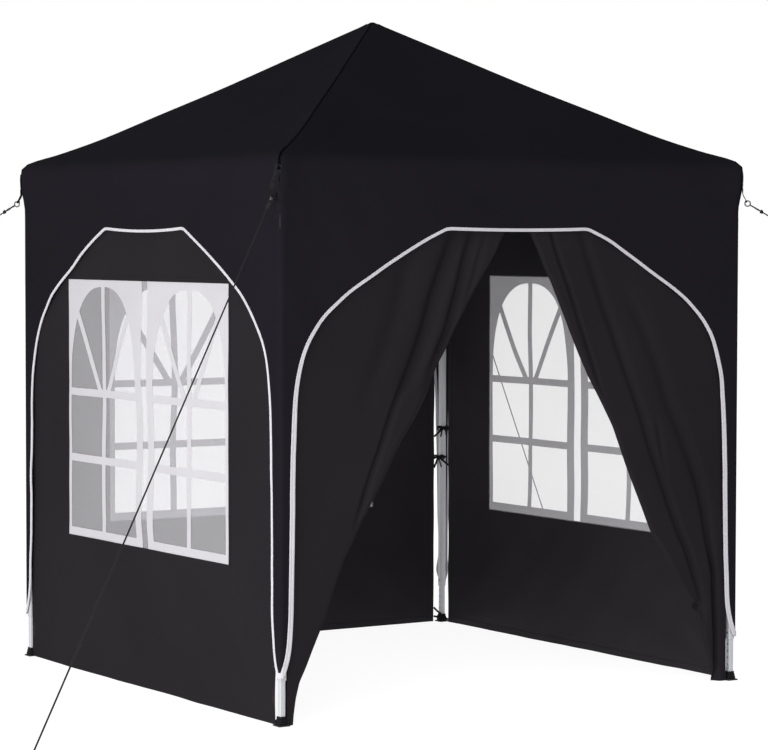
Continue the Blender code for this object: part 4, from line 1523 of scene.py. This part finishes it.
def build_ties():
    """Ties that hold the walls and the door to the legs, at two heights and at the feet."""
    finish = finishes()["webbing"]
    held = []
    for index, (corner, (sx, sy)) in enumerate(CORNERS.items()):
        leg = np.array([sx * LEG_AT, sy * LEG_AT, 0.0])
        inward = np.array([-sx, -sy, 0.0]) / math.sqrt(2)
        beside_leg = np.array([sy, -sx, 0.0]) / math.sqrt(2)
        along_x, along_y = TIED_ENDS[corner]
        ends = (np.array([sx * along_x, sy * (WALL_D - 0.003), 0.0]),
                np.array([sx * (WALL_D - 0.003), sy * along_y, 0.0]))

        def strap(end, end_z, knot):
            """A thin strap from a wall's end to a knot."""
            at = end + UP * end_z
            path = [at, (at + knot) / 2 + inward * 0.004, knot - inward * 0.002]
            return ribbon_path(path, *STRAP, inward, finish, count=12)

        for step, z in enumerate((0.835, 0.710)):
            held.append(round_leg(corner, z, finish))
            shift = -0.011 if step else 0.010
            knot = leg + inward * 0.019 + beside_leg * shift + UP * z
            held += bow(knot, inward + beside_leg * 12 * shift, finish, 0.72, 10 * index + step)
            starts = [(0, 0.038), (1, 0.0)] if step == 0 else [(0, 0.0), (1, 0.034), (0, 0.046)]
            held += [strap(ends[which], z - drop, knot) for which, drop in starts]
        knot = leg + inward * 0.020 + UP * 0.026
        held += [strap(ends[0], 0.062, knot + UP * 0.008), strap(ends[0], 0.024, knot - UP * 0.006),
                 strap(ends[1], 0.012, knot + UP * 0.004)]
        feet = [round_leg(corner, z, finish, half, 0.0100, 0.0032)
                for z, half in ((0.0105, 0.0165), (0.0195, 0.0145), (0.0285, 0.0128))]
        feet += bow(knot, inward, finish, 0.40, 50 + index)
        ride(join_pieces(corner + "_foot_ties", feet), corner + "_leg_end", "webbing")
    ride(join_pieces("leg_ties", held), "tent", "webbing")
    build_door_tie()


def build_door_tie():
    """The toggle that holds the right door half, drawn into the cloth."""
    finish = finishes()["webbing"]
    at = np.array([0.8155, -(WALL_D - 0.0225), bpy.context.scene.door_sizes.tie_height])
    toggle = cord_tube("toggle", [at + (-0.004, 0, -0.012), at, at + (0.004, 0, 0.012)], 0.0075,
                       finish, 12, (1.0, 0.0, 0.0))
    noose = [at + (0.0105 * math.cos(a), 0.004, 0.0095 * math.sin(a)) for a in full_turn(16)]
    loop = cord_tube("loop", noose, 0.003, finish, 8, (0.0, 1.0, 0.0))
    ride(join_pieces("door_tie", [toggle, loop]), "tent", "webbing")


# Frame

def softened(node, finish, width, body, slot):
    """Replaces a hard node by a copy with its flat faces made whole and its edges eased."""
    piece = put(node + "_eased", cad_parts[node].data.copy())
    with editing(piece) as shape:
        bmesh.ops.remove_doubles(shape, verts=shape.verts, dist=1e-6)
        bmesh.ops.dissolve_limit(shape, angle_limit=math.radians(0.5), verts=shape.verts, edges=shape.edges)
    piece.data.materials.clear()
    piece.data.materials.append(finish)
    step = piece.modifiers.new("Eased edges", "BEVEL")
    step.width = width
    step.segments = 2
    step.limit_method = "ANGLE"
    step.angle_limit = math.radians(35)
    step.harden_normals = False
    plain(piece)
    piece.data.shade_smooth()
    piece.data.set_sharp_from_angle(angle=math.radians(50))
    ride(piece, body, slot, node)


def square_ring(half, radius, count=6):
    """Points round a square section with rounded corners."""
    ring = []
    for quarter in range(4):
        middle = math.pi / 2 * quarter + math.pi / 4
        centre = np.array([np.sign(math.cos(middle)), np.sign(math.sin(middle))]) * (half - radius)
        for angle in np.linspace(middle - math.pi / 4, middle + math.pi / 4, count):
            ring.append(centre + radius * np.array([math.cos(angle), math.sin(angle)]))
    return np.array(ring)


def square_tube(node, name, wall, radius, body):
    """Replaces a leg's tube by an open square tube with real walls and rounded corners."""
    low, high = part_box(node)
    x, y = (low.x + high.x) / 2, (low.y + high.y) / 2
    half = (high.x - low.x) / 2
    outer = square_ring(half, radius)
    inner = square_ring(half - wall, max(radius - wall, 0.0006))
    lip = 0.0004
    eased = outer * (1 - lip / half)
    stages = ((outer, low.z + lip), (eased, low.z), (inner, low.z), (inner, high.z), (eased, high.z),
              (outer, high.z - lip))
    rows = [[(x + px, y + py, z) for px, py in ring] for ring, z in stages]
    faces = tube_faces(len(stages), len(outer), closed=True)
    piece = add_piece(name, rows, faces, [finishes()["paint"]], sharp=35)
    face_out(piece)
    ride(piece, body, "frame_tube", node)


def build_frame():
    """Telescopic legs with their feet, brackets and sliders, the lattice and the peak pole."""
    look = finishes()
    for corner in CORNERS:
        square_tube(corner + "_upper_leg", corner + "_outer_tube", 0.0015, 0.0028, "tent")
        square_tube(corner + "_lower_leg", corner + "_inner_tube", 0.0014, 0.0024, corner + "_leg_end")
        for part, width, body in (("_bracket", 0.0016, "tent"), ("_slider", 0.0016, "tent"),
                                  ("_foot", 0.0012, corner + "_leg_end")):
            softened(corner + part, look["plastic"], width, body, "black_plastic")
    for node in [side + "_truss" for side in TURNS] + ["cross_truss", "peak_pole"]:
        softened(node, look["paint"], 0.0009, "tent", "frame_tube")
    build_rivets()


def lattice_spots():
    """Places of the lattice's rivets, on both faces, and the way each faces."""
    low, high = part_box("front_truss")
    top, foot = high.z - 0.009, low.z + 0.009
    reach = high.x
    spots = []
    for side in TURNS:
        for sign in (-1, 1):
            for h, z in (((reach + 0.008) / 2, (top + foot) / 2), (0.009, top), (0.009, foot),
                         (reach - 0.010, top), (reach - 0.010, foot)):
                for d, way in ((-low.y, 1), (-low.y - 0.0165, -1)):
                    spots.append((turned(side, sign * h, d, z), turned(side, 0.0, way, 0.0)))
    return spots


def build_rivets():
    """Rivets of the lattice, holes of the lower legs, screws of the feet, and the legs' spring buttons."""
    look = finishes()
    studded("lattice_rivets", lattice_spots(), look["plated"], "tent", "peg_steel", 0.0052, 0.0022)
    buttons = []
    for corner, (sx, sy) in CORNERS.items():
        x, y = sx * LEG_AT, sy * LEG_AT
        low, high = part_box(corner + "_lower_leg")
        face = sx * (LEG_AT - (high.x - low.x) / 2 + 0.0002)
        holes = [((face, y, z), (-sx, 0, 0)) for z in (0.060, 0.085, 0.110, 0.135)]
        studded(corner + "_leg_holes", holes, look["plastic"], corner + "_leg_end", "black_plastic",
                0.0035, 0.0005)
        screws = [((x + dx * 0.0165, y + dy * 0.0165, 0.005), UP)
                  for dx, dy in ((-1, -1), (1, -1), (1, 1), (-1, 1))]
        studded(corner + "_foot_screws", screws, look["plated"], corner + "_leg_end", "peg_steel",
                0.0030, 0.0012)
        buttons.append(((sx * (LEG_AT - 0.0125), y, 0.178), (-sx, 0, 0)))
    studded("spring_buttons", buttons, look["plated"], "tent", "peg_steel", 0.0040, 0.0035)


# Guy ropes

RING_R, RING_Z = 1.426, 1.776   # middle of a ring, from the middle of the tent and above the ground
RING_WIRE = 0.005         # thickness of the ring's wire
HOLD_ANGLE = math.radians(120)  # place on the ring, from its outer side, where the strap holds it
ROPE_SLOPE = math.atan(0.591)   # down for each metre along the ground
EYE_REACH = 0.0065        # half length of the rope's eye round the ring
STRAP_HEIGHTS = (1.892, 1.876, 1.860, 1.844, 1.828)   # where the strap lies on the corner
TENSIONER_DOWN = 0.040    # from the middle of a ring to the tensioner
PEG_LEAN = 0.018 / 0.075  # out for each metre up
PEG_BEND = 0.012          # radius of the bend below the head


def far_reach(node):
    """How far a corner's node reaches from the middle of the tent, along the diagonal."""
    low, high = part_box(node)
    return (max(abs(low.x), abs(high.x)) + max(abs(low.y), abs(high.y))) / math.sqrt(2)


def build_guys():
    """At each corner a webbing strap, a steel ring, a braided rope with its tensioner, and a peg."""
    sizes = bpy.context.scene.guy_sizes
    look = finishes()
    for corner, (sx, sy) in CORNERS.items():
        out = np.array([sx, sy, 0.0]) / math.sqrt(2)
        across = np.cross(UP, out)
        shift = np.array(RING_SHIFT.get(corner, (0.0, 0.0, 0.0)))
        ring_at = out * RING_R + UP * RING_Z + shift
        angle = full_turn(36)[:, None]
        spokes = out * np.cos(angle) + UP * np.sin(angle)
        ring = sweep(corner + "_ring", ring_at + spokes * sizes.ring, oval(RING_WIRE, RING_WIRE, 12), across,
                     spokes, look["plated"], closed=True)
        ride(ring, "tent", "webbing", corner + "_guy_ring")

        wrap = []
        for turn in np.linspace(math.radians(-10), math.radians(190), 12):
            spin = HOLD_ANGLE + math.pi - turn
            wrap.append((RING_R + sizes.ring * math.cos(HOLD_ANGLE) + 0.0038 * math.cos(spin),
                         RING_Z + sizes.ring * math.sin(HOLD_ANGLE) + 0.0038 * math.sin(spin)))
        hug = [(float(np.hypot(*side_points("front", SIDE_END, z, 0.0016)[:2])), z) for z in STRAP_HEIGHTS]
        last = hug[-1][0]
        line = hug + [(last + 0.001, 1.812)] + wrap + [(last + 0.002, 1.808), (last + 0.0016, 1.832)]
        line = [out * r + UP * z + shift * smoothstep((STRAP_HEIGHTS[0] - z) / 0.09) for r, z in line]
        strap = ribbon_path(line, sizes.strap, 0.0016, out, look["webbing"], corner + "_strap", 70)
        ride(strap, "tent", "webbing")

        down = out * math.cos(ROPE_SLOPE) - UP * math.sin(ROPE_SLOPE)
        foot = (out * (far_reach(corner + "_guy_rope") - 0.0035)
                + UP * (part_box(corner + "_guy_rope")[0].z + 0.002))
        build_rope(corner, ring_at, foot, down, across, out)
        build_tensioner(corner, ring_at + down * TENSIONER_DOWN, down, across)
        build_peg(corner, out, across)


def build_rope(corner, ring_at, foot, down, across, out):
    """The rope: doubled from the ring to the tensioner, then single to a loop round the peg."""
    finish = finishes()["rope"]
    rope = bpy.context.scene.guy_sizes.rope
    hang = ring_at + down * bpy.context.scene.guy_sizes.ring
    start = hang + down * 0.002
    grip = ring_at + down * TENSIONER_DOWN
    shares = np.linspace(0, 1, 90)[:, None]
    line = start * (1 - shares) + foot * shares - UP * 0.016 * shares * (1 - shares)
    back = [start + across * 0.001, start + across * 0.0045 + down * 0.008,
            grip + across * 0.0040, grip + down * 0.014 + across * 0.0035]
    eye = [hang + down * (0.007 - EYE_REACH * math.sin(a)) + across * 0.0058 * math.cos(a)
           for a in np.linspace(-0.25 * math.pi, 1.25 * math.pi, 20)]
    centre = foot + down * 0.0065 + UP * 0.0036
    noose = [centre + out * 0.0085 * math.cos(a) + across * 0.0078 * math.sin(a) for a in full_turn(24)]
    pieces = [
        cord_tube("main", line, rope, finish, 10),
        cord_tube("back", smooth_line(back, 24), rope * 0.95, finish, 8),
        cord_tube("eye", eye, rope * 0.9, finish, 8),
        knot_piece(ring_at + down * 0.060 + across * 0.001, down, across, rope, finish),
        knot_piece(foot - down * 0.040, down, across, rope, finish),
        cord_tube("sling", noose, rope * 0.9, finish, 8),
    ]
    ride(join_pieces(corner + "_rope", pieces), "tent", "guy_rope", corner + "_guy_rope")


def knot_piece(at, along, across, rope, finish):
    """A small tight knot: three turns round the rope."""
    turns = np.linspace(0, 6 * math.pi, 46)
    up = np.cross(along, across)
    path = [at + along * (0.0099 * (t / turns[-1] - 0.5)) +
            (across * math.cos(t) + up * math.sin(t)) * rope * (0.95 + 0.12 * math.sin(t / 3)) for t in turns]
    return cord_tube("knot", path, rope * 0.9, finish, 8, along)


def build_tensioner(corner, at, down, across):
    """A black slider on the doubled rope."""
    up = np.cross(down, across)
    outline = [(0.0100 * math.copysign(abs(c) ** 0.55, c), 0.0065 * math.copysign(abs(s) ** 0.7, s))
               for c, s in ((math.cos(a), math.sin(a)) for a in full_turn(40))]
    rows = [[at + (down * a + across * b) * scale + up * height * 0.0030 for a, b in outline]
            for height, scale in ((-1.0, 0.9), (-0.6, 1.0), (0.6, 1.0), (1.0, 0.9))]
    plate = add_piece(corner + "_tensioner", rows, tube_faces(4, 40), [finishes()["plastic"]], sharp=30)
    face_out(plate)
    ride(plate, "tent", "black_plastic")


def build_peg(corner, out, across, radius=0.004):
    """A round steel peg whose head is bent over, away from the tent."""
    node = corner + "_peg"
    far = far_reach(node)
    shaft_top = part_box(node)[1].z - radius
    bend_z = shaft_top - PEG_BEND
    path = [(far - 0.024 - (0.075 - z) * PEG_LEAN, z) for z in np.linspace(0.0005, bend_z, 8)]
    bend_r = path[-1][0] + 0.001
    for turn in np.linspace(0.15, 1, 7) * math.pi / 2:
        path.append((bend_r + PEG_BEND * (1 - math.cos(turn)), bend_z + PEG_BEND * math.sin(turn)))
    path.append((far - 0.0035, shaft_top - 0.0004))
    line = np.array([out * r + UP * z for r, z in smooth_line(path, 40)])
    peg = sweep(corner + "_peg_steel", line, oval(2 * radius, 2 * radius, 14), across,
                np.cross(across, tangents(line)), finishes()["steel"])
    ride(peg, "tent", "peg_steel", node)


# Stage

def round_floor(reach, ring_count, around=48):
    """Points and faces of a flat round floor whose rings grow outwards."""
    rings = np.geomspace(1.0, reach, ring_count)
    points = [(r * math.cos(a), r * math.sin(a), -0.0005) for r in rings for a in full_turn(around)]
    return points, [face[::-1] for face in tube_faces(ring_count, around)[:-1]]


def build_stage():
    """The pale floor, the soft studio light and the camera."""
    scene = bpy.context.scene
    stage = scene.stage_settings
    made = Finish("pale floor", (0.20, 0.20, 0.20), 0.85, Specular_IOR_Level=0.0, Emission_Strength=0.93)
    made.shader.inputs["Emission Color"].default_value = (1.0, 0.995, 1.0, 1.0)
    made.tint(made.noise(made.place(), 0.6, 2.0), 0.99, 1.01)
    add_piece("floor", *round_floor(stage.floor_reach, stage.floor_rings), [made.material])

    build_sky()
    sun = bpy.data.lights.new("key", "SUN")
    sun.energy = 1.35
    sun.angle = math.radians(45)
    put("key", sun).rotation_euler = Vector((0.36, 0.50, -0.79)).to_track_quat("-Z", "Y").to_euler()
    add_softbox("left_softbox", (-7.0, -2.0, 0.7), (-0.6, 0.0, 1.2), (4.5, 1.4), 320.0)
    add_softbox("front_softbox", (-6.5, -7.5, 0.9), (0.0, -1.0, 1.2), (4.5, 1.4), 280.0)

    camera = put("camera", bpy.data.cameras.new("camera"))
    camera.data.lens = stage.lens
    camera.data.sensor_width = 36.0
    camera.data.clip_end = 400.0
    yaw, pitch = stage.camera_yaw, stage.camera_pitch
    look = Vector((math.sin(yaw) * math.cos(pitch), math.cos(yaw) * math.cos(pitch), math.sin(pitch)))
    turn = look.to_track_quat("-Z", "Y").to_matrix() @ Matrix.Rotation(stage.camera_roll, 3, "Z")
    camera.matrix_world = Matrix.Translation(stage.camera_place) @ turn.to_4x4()
    scene.camera = camera
    scene.view_settings.view_transform = "Standard"


def build_sky():
    """A white background for the camera, and dimmer light from all round for the tent."""
    sky = Nodes()
    world = bpy.data.worlds.new("studio")
    bpy.context.scene.world = world
    world.use_nodes = True
    sky.tree = world.node_tree
    white = sky.tree.nodes["Background"]
    white.inputs["Color"].default_value = (1.0, 1.0, 1.0, 1.0)
    white.inputs["Strength"].default_value = 1.0
    dim = sky.node("ShaderNodeBackground", {"Color": (0.97, 0.98, 1.0, 1.0), "Strength": 0.36})
    seen = sky.node("ShaderNodeLightPath")
    mix = sky.node("ShaderNodeMixShader", {
        0: seen.outputs["Is Camera Ray"], 1: dim.outputs[0], 2: white.outputs[0]})
    sky.tree.links.new(mix.outputs[0], sky.tree.nodes["World Output"].inputs["Surface"])


def add_softbox(name, place, aim, size, power):
    """A large soft light that faces the tent."""
    light = bpy.data.lights.new(name, "AREA")
    light.shape = "RECTANGLE"
    light.size, light.size_y = size
    light.energy = power
    lamp = put(name, light)
    lamp.location = place
    lamp.rotation_euler = (Vector(aim) - Vector(place)).to_track_quat("-Z", "Y").to_euler()


def declare_cover():
    """Works out the front arch's path and keeps nothing of it; the cover is four slopes and four arched sides
    from one width of cloth.
    """
    path = arch_path("front")


# Operators and panel

class TENT_OT_cover(bpy.types.Operator):
    """Build the roof and the hanging sides as one sheet"""

    bl_idname = "tent.cover"
    bl_label = "Cover"

    def execute(self, context):
        build_cover()
        build_hip_seams()
        return {"FINISHED"}


class TENT_OT_tapes(bpy.types.Operator):
    """Sew the pale tape round the four arches"""

    bl_idname = "tent.tapes"
    bl_label = "Arch tapes"

    def execute(self, context):
        build_tapes()
        declare_cover()
        return {"FINISHED"}


class TENT_OT_walls(bpy.types.Operator):
    """Hang the three walls with their printed windows"""

    bl_idname = "tent.walls"
    bl_label = "Walls and windows"

    def execute(self, context):
        build_walls()
        return {"FINISHED"}


class TENT_OT_door(bpy.types.Operator):
    """Draw the two door halves aside"""

    bl_idname = "tent.door"
    bl_label = "Door"

    def execute(self, context):
        build_door()
        return {"FINISHED"}


class TENT_OT_ties(bpy.types.Operator):
    """Tie the walls and the door to the legs"""

    bl_idname = "tent.ties"
    bl_label = "Ties"

    def execute(self, context):
        build_ties()
        return {"FINISHED"}


class TENT_OT_frame(bpy.types.Operator):
    """Finish the legs, the brackets and the folding lattice"""

    bl_idname = "tent.frame"
    bl_label = "Frame"

    def execute(self, context):
        build_frame()
        return {"FINISHED"}


class TENT_OT_guys(bpy.types.Operator):
    """Fit the straps, rings, ropes and pegs"""

    bl_idname = "tent.guys"
    bl_label = "Guy ropes"

    def execute(self, context):
        build_guys()
        return {"FINISHED"}


class TENT_OT_stage(bpy.types.Operator):
    """Set the floor, the light and the camera"""

    bl_idname = "tent.stage"
    bl_label = "Stage"

    def execute(self, context):
        build_stage()
        return {"FINISHED"}


STEPS = (TENT_OT_stage, TENT_OT_cover, TENT_OT_tapes, TENT_OT_walls, TENT_OT_door, TENT_OT_ties,
         TENT_OT_frame, TENT_OT_guys)
GROUPS = {
    "cover_sizes": CoverSizes,
    "wall_sizes": WallSizes,
    "door_sizes": DoorSizes,
    "stitch_sizes": StitchSizes,
    "guy_sizes": GuySizes,
    "tent_colours": TentColours,
    "stage_settings": StageSettings,
}


class TENT_PT_panel(bpy.types.Panel):
    """Sizes, colours and steps of the tent"""

    bl_idname = "TENT_PT_panel"
    bl_label = "Party Tent"
    bl_space_type = "VIEW_3D"
    bl_region_type = "UI"
    bl_category = "Party Tent"

    def draw(self, context):
        for name, group in GROUPS.items():
            box = self.layout.box()
            box.label(text=group.__doc__)
            for field in group.__annotations__:
                box.prop(getattr(context.scene, name), field)
        for step in STEPS:
            self.layout.operator(step.bl_idname)


CLASSES = tuple(GROUPS.values()) + STEPS + (TENT_PT_panel,)


def register():
    for item in CLASSES:
        bpy.utils.register_class(item)
    for name, group in GROUPS.items():
        setattr(bpy.types.Scene, name, PointerProperty(type=group))


def unregister():
    for name in GROUPS:
        delattr(bpy.types.Scene, name)
    for item in reversed(CLASSES):
        bpy.utils.unregister_class(item)


def main():
    register()
    bpy.ops.tent.stage()
    bpy.ops.tent.cover()
    bpy.ops.tent.tapes()
    bpy.ops.tent.walls()
    bpy.ops.tent.door()
    bpy.ops.tent.ties()
    bpy.ops.tent.frame()
    bpy.ops.tent.guys()


if __name__ == "__main__":
    main()
